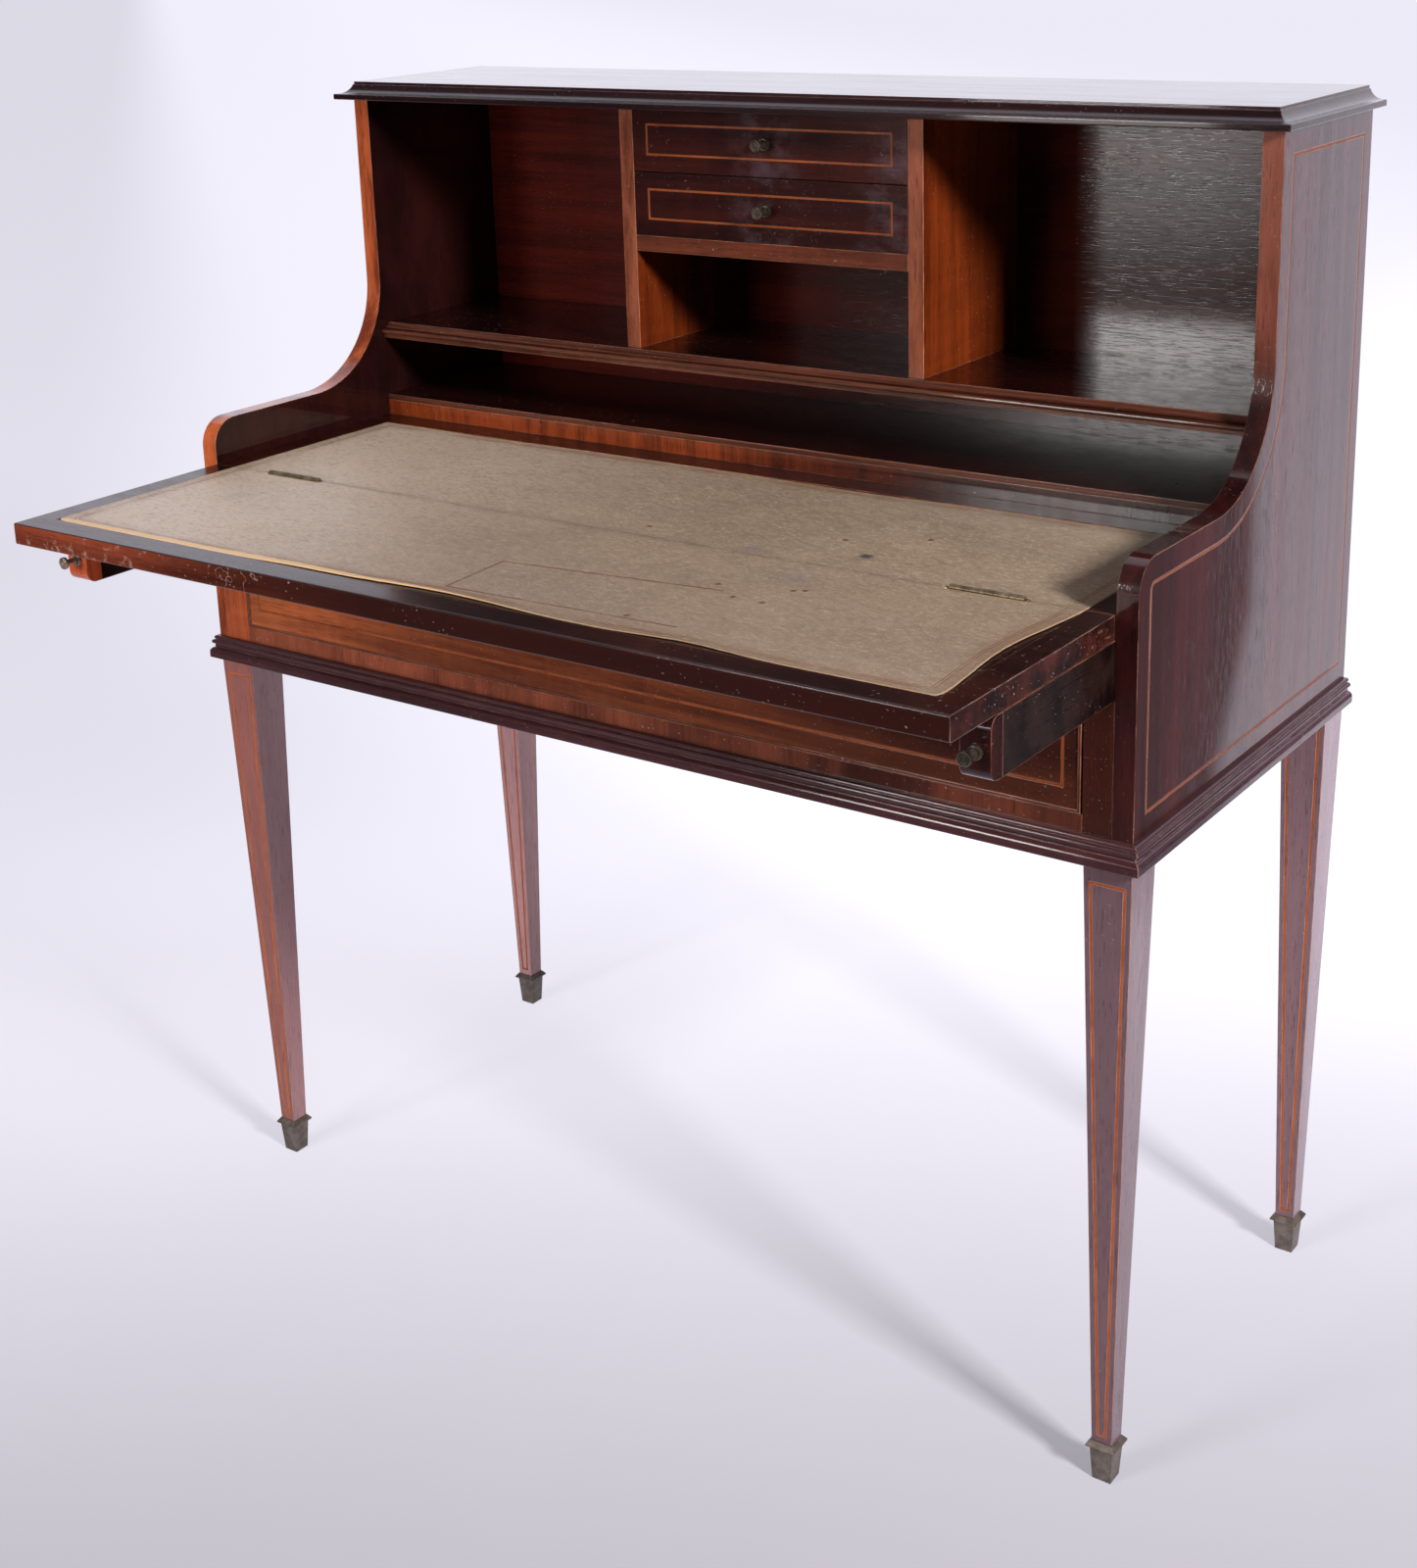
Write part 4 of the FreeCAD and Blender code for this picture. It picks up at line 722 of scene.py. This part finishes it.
class DESK_OT_metal(bpy.types.Operator):
    """Dull the brass and the steel"""
    bl_idname = "desk.metal"
    bl_label = "Brass and steel"

    def execute(self, context):
        tint = context.scene.desk.brass
        for seed, (name, level) in enumerate(KNOBS.items()):
            dull = tuple(part * level for part in tint.dull)
            bright = tuple(part * level for part in tint.bright)
            use(self.brass(f"{name}_brass", dull, bright, 61 + seed, 0.34, self.knob_rings(name)), name)
        use(self.brass("sabot_brass", paint(86, 76, 70), paint(134, 121, 112), 72, 0.42), "sabots")
        use(self.brass("hinge_brass", paint(78, 66, 50), paint(150, 132, 104), 73, 0.4),
            "hinge_rear_plates", "hinge_front_plates", "hinge_pins")
        use(self.brass("screw_steel", paint(60, 58, 54), paint(120, 116, 108), 74, 0.3),
            "hinge_rear_screws", "hinge_front_screws")
        return {"FINISHED"}

    def knob_rings(self, name):
        """Place of a knob's axis, where its turned rings run round. Paired knobs mirror each other."""
        low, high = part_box(name)
        paired = high.x - low.x > 4 * ROSETTE_RADIUS
        across = high.x - ROSETTE_RADIUS if paired else (low.x + high.x) / 2
        return abs(across), (low.z + high.z) / 2

    def brass(self, name, dull, bright, seed, rough, rings=None):
        """Old metal, dull in its hollows and rubbed bright on its edges."""
        shade = Surface(name)
        patina = shade.cloud((90, 90, 90), shift=(seed, 0, 0), detail=5, rough=0.65)
        fine = shade.cloud((900, 900, 900), shift=(seed, 0, 0), detail=2)
        arris, soft = shade.worn_edge(BRASS_ARRIS)
        tone = shade.math("MULTIPLY_ADD", arris, 0.5, shade.ramp(patina, 0.35, 0.7, 0.0, 0.7))
        gloss = shade.math("MULTIPLY_ADD", patina, 0.3, rough - 0.15)
        normal = shade.bump(fine, 0.00006, 0.5, soft)
        if rings is not None:
            across, _, height = shade.axes(shade.place.outputs["Object"])
            aside = shade.math("SUBTRACT", shade.math("ABSOLUTE", across), rings[0])
            above = shade.math("SUBTRACT", height, rings[1])
            away = shade.math("SQRT", shade.math("ADD", shade.times(aside, aside),
                                                 shade.times(above, above)))
            turned = shade.math("SINE", shade.times(away, math.tau / RING_PITCH))
            normal = shade.bump(turned, 0.00025, 0.8, normal)
            tone = shade.math("MULTIPLY_ADD", turned, 0.2, tone)
        base = shade.mix(shade.math("MINIMUM", tone, 1.0), dull, bright)
        return shade.finish(base, gloss, normal, metallic=0.55)


# ---------------------------------------------------------------- leather

# how far apart a sheet's points are, with extra rows near its edges and the joint, in metres
SHEET_STEP = 0.007
EDGE_ROWS = (0.0014, 0.0034, 0.0055)
RIDGE_ROWS = (0.0012, 0.0062)
# how high the sheets rise where they meet, how round the front corners are, and how far the
# front sheet's right edge has bowed in
RIDGE = 0.0002
CORNER = 0.008
SIDE_BOW = 0.009
# where the first tooled line runs, how far the second is from it, and how much closer both run
# to the sides
BORDER_INSET = 0.0085
BORDER_GAP = 0.0027
SIDE_MARGIN = 0.0025
# how ragged the edge is, how far in from it the leather has moved along, and how high it waves
RAGGED = 0.0007
DRAWN_REACH = 0.05
WAVE = 0.00014
# how far in the edge curls, how far from the joint the curl is full, and the rear sheet's share
# of it
CURL_REACH = 0.007
CURL_FADE = 0.02
REAR_CURL = 0.12
# how far each sheet stops short of the joint, the right hinge slot's span across, and how far
# both slots reach from the joint
JOINT_OPENING = 0.00008
HINGE_SLOT = (HINGES[1].x - 0.0645, HINGES[1].x + 0.0015)
SLOT_REACH = 0.0036
# middle, depth and reach of each place where an end of the leather has gone back
FRONT_BITES = ((0.0, 0.0095, 0.09), (0.232, 0.0065, 0.05), (-0.152, 0.003, 0.05))
REAR_BITES = ((-0.3, 0.0025, 0.08), (0.12, 0.005, 0.1), (0.36, 0.002, 0.05))
# marks on the leather, each at its place across and back: lines by their two ends, spots by
# their middles
STAIN_LINES = (((-0.007, -0.283), (-0.012, -0.209)), ((-0.012, -0.209), (0.186, -0.186)),
               ((-0.007, -0.283), (0.207, -0.275)))
INK_SPOT = (0.232, -0.055)
FAINT_SPOTS = ((-0.358, -0.166), (0.141, -0.082), (0.218, -0.131))
DARK_MARKS = ((0.201, -0.195), (0.228, -0.196), (0.232, -0.160), (0.240, -0.1555), (0.029, -0.0685),
              (0.159, -0.271), (0.173, -0.174), (0.193, -0.0235), (0.253, 0.010))


def spread(low, high, step, extra):
    """Places from low to high about a step apart, with the extra ones that lie between."""
    count = max(2, round((high - low) / step))
    places = {round(low + (high - low) * index / count, 6) for index in range(count + 1)}
    kept = [place for place in places if all(abs(place - other) > step * 0.35 for other in extra)]
    return sorted({*kept, low, high, *(place for place in extra if low < place < high)})


def hinge_slots():
    """Spans across of the two slots cut round the hinges."""
    low, high = HINGE_SLOT
    return ((low, high), (-high, -low))


def in_slot(across, back):
    """Whether a place lies in a slot cut round a hinge."""
    near = abs(back - JOINT) < SLOT_REACH
    return near and any(low < across < high for low, high in hinge_slots())


def bite(across, bites):
    """How far a sheet's end has shrunk or torn back at a place."""
    return sum(depth * math.exp(-((across - middle) / reach) ** 2) for middle, depth, reach in bites)


def rounded(side, end):
    """How far a place near a corner is drawn in from the side and the end to round the corner."""
    across, along = CORNER - side, CORNER - end
    if across <= 0 or along <= 0:
        return 0.0, 0.0
    scale = max(across, along) / math.hypot(across, along)
    return across * (1 - scale), along * (1 - scale)


def sheet_rows(box, outer, opening, inward):
    """Places across and along a sheet where its mesh has points, closer together at its edges."""
    across = spread(box[0].x, box[1].x, SHEET_STEP,
                    [place for span in hinge_slots() for place in span]
                    + [side * (box[1].x - inset) for side in (-1, 1) for inset in EDGE_ROWS])
    back = spread(min(outer, opening), max(outer, opening), SHEET_STEP,
                  [JOINT - inward * inset for inset in (SLOT_REACH, *RIDGE_ROWS)]
                  + [outer + inward * inset for inset in EDGE_ROWS])
    return across, back


def drawn_in(x, y, side, end, depth, front):
    """How far a place has drawn in from the sheet's side and from its end."""
    ragged = abs(RAGGED * noise.noise(Vector((x * 60, y * 60, 3.0))))
    bow = SIDE_BOW * math.sin(math.pi * min(1.0, end / depth)) ** 2 if front and x > 0 else 0.0
    bites = FRONT_BITES if front else REAR_BITES
    from_side = (bow + ragged) * max(0.0, 1 - side / DRAWN_REACH)
    from_end = (bite(x, bites) + ragged) * max(0.0, 1 - end / DRAWN_REACH)
    corner = rounded(side, end) if front else (0.0, 0.0)
    return from_side + corner[0], from_end + corner[1]


def lifted(x, y, side, end, front):
    """How high a place stands above the leaf: its curl, the ridge at the joint and its waves."""
    near = min(side, end)
    from_joint = abs(y - JOINT)
    loose = 1.0 if front and x > 0 and side < end else 0.5 + noise.noise(Vector((x * 6, y * 6, 12.0)))
    curl = bpy.context.scene.desk.leather.lift * (1.0 if front else REAR_CURL)
    curl *= max(0.0, 1 - near / CURL_REACH) ** 2 * min(1.0, max(0.15, loose))
    curl *= min(1.0, from_joint / CURL_FADE)
    ridge = RIDGE * max(0.0, 1 - from_joint / RIDGE_ROWS[1])
    return curl + ridge + WAVE * noise.noise(Vector((x * 11, y * 11, 1.0))) * min(1.0, near / 0.02)


def sheet_mesh(name, box, opening):
    """A worn sheet of leather with loose, wavy edges and a slot cut round each hinge."""
    front = box[1].y < JOINT + 0.001
    inward = 1 if front else -1
    outer = box[0].y if front else box[1].y
    across, back = sheet_rows(box, outer, opening, inward)
    mesh = bmesh.new()
    layers = {key: mesh.verts.layers.float.new(key) for key in ("edge", "border", "band")}
    grid = {}
    for x in across:
        for y in back:
            side = box[1].x - abs(x)
            end = (y - outer) * inward
            from_side, from_end = drawn_in(x, y, side, end, abs(opening - outer), front)
            vertex = mesh.verts.new((x - math.copysign(from_side, x), y + from_end * inward,
                                     WRITING_TOP + lifted(x, y, side, end, front)))
            # for the hide: distance to the edge and to the border, and width of the cut edge
            vertex[layers["edge"]] = min(side, end)
            vertex[layers["border"]] = min(side - SIDE_MARGIN, end)
            vertex[layers["band"]] = raw_width(x, end, side, front)
            grid[x, y] = vertex
    for x, next_x in zip(across, across[1:]):
        for y, next_y in zip(back, back[1:]):
            if not in_slot((x + next_x) / 2, (y + next_y) / 2):
                mesh.faces.new((grid[x, y], grid[next_x, y], grid[next_x, next_y], grid[x, next_y]))
    bmesh.ops.delete(mesh, geom=[vertex for vertex in mesh.verts if not vertex.link_faces],
                     context="VERTS")
    return sheet_piece(name, mesh)


def sheet_piece(name, mesh):
    """Make a sheet's mesh a piece, and give it the hide's thickness."""
    data = bpy.data.meshes.new(name)
    mesh.to_mesh(data)
    mesh.free()
    piece = bpy.data.objects.new(name, data)
    bpy.context.scene.collection.objects.link(piece)
    data.shade_smooth()
    solid = piece.modifiers.new("hide", "SOLIDIFY")
    solid.thickness = bpy.context.scene.desk.leather.thickness
    solid.offset = -1.0
    return piece


def raw_width(across, end, side, front):
    """How wide the bare cut edge shows at a place: widest along the front, towards the left."""
    if side < end:
        # the wider pale edge on the front sheet's right side is partly a painted highlight on its lifted
        # edge
        return 0.002 if front and across > 0 else 0.001
    if not front:
        return 0.0016
    return 0.0012 + 0.0080 * min(1.0, max(0.0, (0.1 - across) / 0.25))


def leather_material(name):
    """Worn hide: fine grain, faded patches, a double tooled border, ink and a blotter's mark."""
    tint = bpy.context.scene.desk.leather
    shade = Surface(name)
    fibre = shade.cloud((150, 420, 300), (0, 0, -8), detail=6, rough=0.8)
    fine = shade.cloud((300, 420, 400), detail=4, rough=0.8)
    attribute = {key: shade.add("ShaderNodeAttribute", attribute_name=key).outputs["Fac"]
                 for key in ("edge", "border", "band")}
    base = hide_tone(shade, tint, fibre, fine)
    faint = shade.ramp(shade.cloud((16, 16, 16), detail=3), 0.3, 0.55, 0.35, 1.0)
    handled = shade.ramp(attribute["border"], 0.026, 0.004, 0.0, 0.34)
    base = shade.mix(shade.times(handled, faint), base, tint.tooling)
    border = tooled_border(shade, attribute["border"], faint)
    base = shade.mix(shade.times(border, 0.75), base, tint.tooling)
    ragged = shade.cloud((90, 90, 90), detail=4)
    bare = shade.math("MULTIPLY_ADD", shade.math("SUBTRACT", ragged, 0.5), 0.0034, attribute["edge"])
    bare = shade.ramp(shade.math("DIVIDE", bare, attribute["band"]), 1.05, 0.75, 0.0, 0.9)
    across = shade.along("x")
    bare = shade.times(bare, shade.ramp(across, 0.2, -0.1, 0.16, 1.0))
    base = shade.mix(bare, base, tint.raw)
    seam, rim = joint_marks(shade)
    # grime and painted shade along the joint
    base = shade.mix(seam, base, paint(92, 74, 60))
    base = shade.mix(rim, base, tint.raw)
    base = spoiled(shade, tint, base)
    patch = shade.cloud((6, 9, 6), detail=5, rough=0.6)
    height = shade.math("MULTIPLY_ADD", shade.cells(shade.stretched((1, 1, 1)), 700), 0.5, fibre)
    height = shade.math("MULTIPLY_ADD", fine, 0.7, height)
    height = shade.math("MULTIPLY_ADD", border, -1.2, height)
    height = shade.math("MULTIPLY_ADD", seam, -1.5, height)
    return shade.finish(base, shade.ramp(patch, 0.3, 0.8, 0.4, 0.54),
                        shade.bump(height, 0.00034, 0.85), specular_ior_level=0.5)


def hide_tone(shade, tint, fibre, fine):
    """The hide's colour: cloudy and finely streaked, paler at the left with a painted sheen, and darker
    at the front right.
    """
    cloud = shade.cloud((9, 12, 9), detail=6, rough=0.62)
    mottle = shade.cloud((45, 110, 60), (0, 0, -8), detail=6, rough=0.75)
    tone = shade.math("MULTIPLY_ADD", mottle, 0.55, shade.times(cloud, 0.45))
    base = shade.mix(shade.ramp(tone, 0.3, 0.72), tint.grime, tint.hide)
    across, back, _ = shade.axes(shade.place.outputs["Object"])
    # a painted sheen makes the hide paler towards the left
    base = shade.mix(shade.ramp(across, 0.1, -0.45, 0.0, 0.72), base, paint(210, 190, 172))
    # the noise of each streak, where it starts and is full, how much of it shows, and its colour
    for streak, start, full, amount, tone in (
            (fibre, 0.5, 0.62, 0.68, tint.grime), (fibre, 0.48, 0.37, 0.62, paint(196, 178, 156)),
            (fine, 0.54, 0.66, 0.4, paint(206, 182, 154)), (fine, 0.44, 0.3, 0.4, paint(112, 92, 76))):
        base = shade.mix(shade.ramp(streak, start, full, 0.0, amount), base, tone)
    grubby = shade.cloud((18, 30, 20), detail=5, rough=0.7)
    base = shade.mix(shade.ramp(grubby, 0.56, 0.74, 0.0, 0.3), base, paint(112, 88, 70))
    front = shade.times(shade.ramp(across, -0.3, 0.0), shade.ramp(back, 0.0, -0.3, 0.12, 0.4))
    return shade.mix(front, base, paint(118, 98, 82))


def tooled_border(shade, distance, faint):
    """Two thin lines pressed in side by side near the edge."""
    border = None
    for inset in (BORDER_INSET, BORDER_INSET + BORDER_GAP):
        away = shade.math("ABSOLUTE", shade.math("SUBTRACT", distance, inset))
        rule = shade.ramp(away, 0.0008, 0.0002)
        border = rule if border is None else shade.math("MAXIMUM", border, rule)
    return shade.times(border, faint)


def joint_marks(shade):
    """The crease along the joint, darkened by grime and painted shade, and the pale torn rims of the
    hinge slots.
    """
    across, back, _ = shade.axes(shade.place.outputs["Object"])
    near = shade.math("ABSOLUTE", shade.math("SUBTRACT", back, JOINT))
    wander = shade.cloud((12, 12, 12), detail=4)
    away = shade.math("ADD", near, shade.math("MULTIPLY_ADD", wander, 0.006, -0.003))
    # a dark line in the joint, and a broader painted shade along it
    crease = shade.math("ADD", shade.ramp(away, 0.0014, 0.0, 0.0, 0.45),
                        shade.ramp(away, 0.009, 0.002, 0.0, 0.22))
    seam = shade.times(crease, shade.ramp(wander, 0.36, 0.6, 0.3, 1.0))
    low, high = HINGE_SLOT
    along = shade.math("ABSOLUTE", across)
    inside = shade.times(shade.ramp(along, low - 0.002, low - 0.001),
                         shade.ramp(along, high + 0.002, high + 0.001))
    rim = shade.times(inside, shade.ramp(near, SLOT_REACH + 0.002, SLOT_REACH + 0.0008))
    return seam, shade.times(rim, 0.85)


def spoiled(shade, tint, base):
    """The outline left by a damp blotter, an old ink spot and small dark marks."""
    broken = shade.ramp(shade.cloud((26, 26, 26), detail=4), 0.3, 0.5, 0.55, 1.0)
    for start, end in STAIN_LINES:
        rule = shade.times(shade.line((*start, WRITING_TOP), (*end, WRITING_TOP), 0.0016), broken)
        base = shade.mix(shade.times(rule, 0.9), base, tint.stain)
    # places, radius in metres, how soft the rim is, how much of it shows, and its colour
    for places, radius, soft, amount, tone in (((INK_SPOT,), 0.009, 0.8, 0.85, tint.ink),
                                               (FAINT_SPOTS, 0.018, 0.95, 0.25, paint(104, 108, 132)),
                                               (DARK_MARKS, 0.0036, 0.6, 0.9, tint.stain)):
        for place in places:
            spot = shade.spot((*place, WRITING_TOP), radius, soft)
            base = shade.mix(shade.times(spot, amount), base, tone)
    return base


class DESK_OT_leather(bpy.types.Operator):
    """Line both leaves with worn leather"""
    bl_idname = "desk.leather"
    bl_label = "Leather lining"

    def execute(self, context):
        for name, box, node, body in (("front_lining", FRONT_LEATHER, "front_leather", LEAF),
                                      ("rear_lining", REAR_LEATHER, "rear_leather", CASE)):
            opening = JOINT + (-JOINT_OPENING if node == "front_leather" else JOINT_OPENING)
            piece = sheet_mesh(name, box, opening)
            piece.data.materials.append(leather_material(f"{name}_hide"))
            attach(piece, body)
            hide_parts(node)
        return {"FINISHED"}


# ---------------------------------------------------------------- studio

# where the camera stands in metres, its own axes, and how its picture is framed in pixels
CAMERA_PLACE = (1.13218, -1.51713, 1.25101)
CAMERA_RIGHT = (0.80787346, 0.58838488, -0.03381863)
CAMERA_DOWN = (0.13854379, -0.24537353, -0.95947769)
CAMERA_AHEAD = (-0.57284037, 0.7704512, -0.27974784)
IMAGE_SIZE = (1446, 1600)
FOCAL_PIXELS = 2311.42
MIDDLE_PIXEL = (689.36, 561.33)
SENSOR = 36.0
# linear colour of every soft box
LAMP_TINT = (1.0, 0.98, 0.96)
# name, place, what it is turned to, size, the setting with its power, the share of that power,
# and whether it shows in the polish
SOFT_BOXES = (
    ("key_lamp", (3.0, -0.93, 2.19), (0.2, 0.0, 0.6), (0.5, 0.5), "key_lamp", 1.0, False),
    ("front_lamp", (-0.45, -2.4, 1.3), (-0.2, 0.0, 0.6), (0.5, 0.5), "front_lamp", 1.0, False),
    ("top_lamp", (-0.6, 0.4, 3.4), (0.0, 0.1, 0.7), (1.8, 1.8), "top_lamp", 1.0, False),
    ("window", (-1.2, -3.0, 1.35), (0.0, 0.0, 0.7), (0.55, 0.8), "window", 1.0, True),
    ("window_foot", (-1.2, -3.0, 0.62), (0.3, 0.3, 0.7), (0.55, 0.5), "window", 0.08, True),
)
FLOOR_RADIUS = 40.0
# how much of what the camera sees of the floor is its own glow
GLOW_SHARE = 0.62
# lines on the floor, as slope and start in metres, behind which it is pale in the polish
PALE_EDGES = ((-2.92, 1.625), (-2.5, 1.08))


def soft_box(name, place, target, size, power, mirrored):
    """An area lamp that looks at a target. Only some show in the polish."""
    lamp = bpy.data.lights.new(name, "AREA")
    lamp.shape = "RECTANGLE"
    lamp.size, lamp.size_y = size
    lamp.energy = power
    lamp.color = LAMP_TINT
    stand = bpy.data.objects.new(name, lamp)
    stand.location = place
    stand.rotation_euler = (Vector(target) - Vector(place)).to_track_quat("-Z", "Y").to_euler()
    stand.visible_glossy = mirrored
    bpy.context.scene.collection.objects.link(stand)


class DESK_OT_stage(bpy.types.Operator):
    """Set up the pale floor, the soft boxes and the camera"""
    bl_idname = "desk.stage"
    bl_label = "Stage"

    def execute(self, context):
        studio = context.scene.desk.studio
        self.floor(studio)
        self.world(studio)
        for name, place, target, size, setting, part, mirrored in SOFT_BOXES:
            soft_box(name, place, target, size, getattr(studio, setting) * part, mirrored)
        self.camera()
        context.scene.view_settings.view_transform = "Standard"
        return {"FINISHED"}

    def floor(self, studio):
        """A wide round floor that keeps the desk's shadow."""
        mesh = bmesh.new()
        bmesh.ops.create_circle(mesh, cap_ends=True, radius=FLOOR_RADIUS, segments=96)
        data = bpy.data.meshes.new("floor")
        mesh.to_mesh(data)
        mesh.free()
        floor = bpy.data.objects.new("floor", data)
        bpy.context.scene.collection.objects.link(floor)
        data.materials.append(self.floor_paint(studio))

    def floor_paint(self, studio):
        """Plain paint, lit by the lamps and brightened where it is seen or mirrored."""
        shade = Surface("floor_paint")
        scuffs = shade.cloud((3, 3, 3), detail=6, rough=0.6)
        tone = tuple(studio.floor)
        base = shade.mix(shade.ramp(scuffs, 0.3, 0.7), tuple(part * 0.97 for part in tone), tone)
        shade.finish(base, 0.9, specular_ior_level=0.0)
        direct, glossy = shade.rays()
        across, back, _ = shade.axes(shade.place.outputs["Object"])
        shown = self.floor_glow(shade, across, back)
        mirrored = self.floor_mirrored(shade, across, back)
        glow = shade.add("ShaderNodeEmission")
        glow.inputs["Color"].default_value = (*studio.backdrop, 1.0)
        away = shade.math("SUBTRACT", mirrored, shown)
        shade.join(shade.math("MULTIPLY_ADD", away, glossy, shown), glow.inputs["Strength"])
        amount = shade.math("MAXIMUM", shade.times(direct, GLOW_SHARE), glossy)
        mixed = shade.add("ShaderNodeMixShader")
        for source, target in zip((amount, shade.surface.outputs[0], glow.outputs[0]), mixed.inputs):
            shade.join(source, target)
        shade.join(mixed.outputs[0], shade.output.inputs["Surface"])
        return shade.material

    def floor_glow(self, shade, across, back):
        """How brightly the floor glows where it is seen, which paints light and shade on it: white behind
        the desk, with a painted pool of light beyond a slanting line, and greyer towards the front left.
        Each ramp runs between two places in metres and gives two strengths."""
        along = shade.math("MULTIPLY_ADD", across, -0.64, back)
        depth = shade.math("ADD", shade.ramp(along, -1.2, 1.2, 0.1, 1.54),
                           shade.ramp(along, -0.6, -2.2, 0.0, 1.3))
        near = shade.times(depth, shade.ramp(across, -1.6, -0.5, 0.83, 1.0))
        far = shade.ramp(shade.math("ADD", across, back), -3.0, 8.0, 0.0, 0.24)
        near = shade.math("MULTIPLY_ADD", far, shade.ramp(back, 2.0, 6.0), near)
        past = shade.math("MULTIPLY_ADD", back, 1.15, across)
        lit = shade.times(shade.ramp(past, -1.2, 0.0, 0.0, 0.3), shade.ramp(past, 3.0, 10.0, 1.0, 0.0))
        return shade.math("MULTIPLY_ADD", lit, shade.ramp(back, 0.4, 1.4), near)

    def floor_mirrored(self, shade, across, back):
        """How pale the floor is in the polish: bright behind, dim in front and to the right."""
        beyond = shade.math("MAXIMUM", *(shade.math("MULTIPLY_ADD", across, slope,
                                                    shade.math("ADD", back, start))
                                         for slope, start in PALE_EDGES))
        right = shade.times(shade.ramp(across, 0.85, 1.0), shade.ramp(beyond, 0.04, -0.05))
        front = shade.math("ADD", shade.ramp(back, -1.5, -0.7, 0.04, 0.5),
                           shade.ramp(back, -0.5, 1.2, 0.0, 0.78))
        return shade.times(front, shade.math("MULTIPLY_ADD", right, -0.97, 1.0))

    def world(self, studio):
        """Even light, a pale backdrop where it is seen, and a dim room in front in the polish."""
        world = bpy.data.worlds.new("studio")
        bpy.context.scene.world = world
        shade = Shade(world)
        output = shade.add("ShaderNodeOutputWorld")
        direct, glossy = shade.rays()
        across, back, _ = shade.axes(shade.place.outputs["Generated"])
        beyond = shade.math("MULTIPLY_ADD", shade.math("MAXIMUM", across, 0.0), -2.47, back)
        mirrored = shade.ramp(beyond, -0.1, 0.1, 0.04, 1.3)
        strength = shade.times(glossy, mirrored)
        strength = shade.math("MAXIMUM", strength, direct)
        strength = shade.math("MAXIMUM", strength, studio.ambient)
        light = shade.add("ShaderNodeBackground")
        light.inputs["Color"].default_value = (*studio.backdrop, 1.0)
        shade.join(strength, light.inputs["Strength"])
        shade.join(light.outputs[0], output.inputs[0])

    def camera(self):
        """A camera in front of the desk and to its right, a little above its top."""
        data = bpy.data.cameras.new("camera")
        width, height = IMAGE_SIZE
        data.sensor_width = SENSOR
        data.lens = FOCAL_PIXELS / height * SENSOR
        data.shift_x = (width / 2 - MIDDLE_PIXEL[0]) / height
        data.shift_y = (MIDDLE_PIXEL[1] - height / 2) / height
        eye = bpy.data.objects.new("camera", data)
        axes = Matrix((CAMERA_RIGHT, -Vector(CAMERA_DOWN), -Vector(CAMERA_AHEAD))).transposed()
        eye.matrix_world = Matrix.Translation(CAMERA_PLACE) @ axes.to_4x4()
        bpy.context.scene.collection.objects.link(eye)
        bpy.context.scene.camera = eye


# ---------------------------------------------------------------- add-on

class DESK_PT_panel(bpy.types.Panel):
    """Settings and steps of the desk, in the sidebar"""
    bl_label = "Writing desk"
    bl_idname = "DESK_PT_panel"
    bl_space_type = "VIEW_3D"
    bl_region_type = "UI"
    bl_category = "Desk"

    def draw(self, context):
        for name in ("wood", "inlay", "brass", "leather", "studio"):
            settings = getattr(context.scene.desk, name)
            box = self.layout.box()
            box.label(text=name.capitalize())
            for item in settings.bl_rna.properties:
                if item.identifier not in ("rna_type", "name"):
                    box.prop(settings, item.identifier)
        for step in STEPS:
            self.layout.operator(step.bl_idname)


STEPS = (DESK_OT_case_wood, DESK_OT_drawer_wood, DESK_OT_leaf_wood, DESK_OT_leg_wood, DESK_OT_inlay,
         DESK_OT_metal, DESK_OT_leather, DESK_OT_stage)
CLASSES = (DeskWood, DeskInlay, DeskBrass, DeskLeather, DeskStudio, Desk, *STEPS, DESK_PT_panel)


def register():
    """Register the classes and the desk's settings."""
    for item in CLASSES:
        bpy.utils.register_class(item)
    bpy.types.Scene.desk = PointerProperty(type=Desk)


def unregister():
    """Take them away again."""
    del bpy.types.Scene.desk
    for item in reversed(CLASSES):
        bpy.utils.unregister_class(item)


def main():
    """Run every step in order."""
    register()
    bpy.ops.desk.case_wood()
    bpy.ops.desk.drawer_wood()
    bpy.ops.desk.leaf_wood()
    bpy.ops.desk.leg_wood()
    bpy.ops.desk.inlay()
    bpy.ops.desk.metal()
    bpy.ops.desk.leather()
    bpy.ops.desk.stage()


if __name__ == "__main__":
    main()
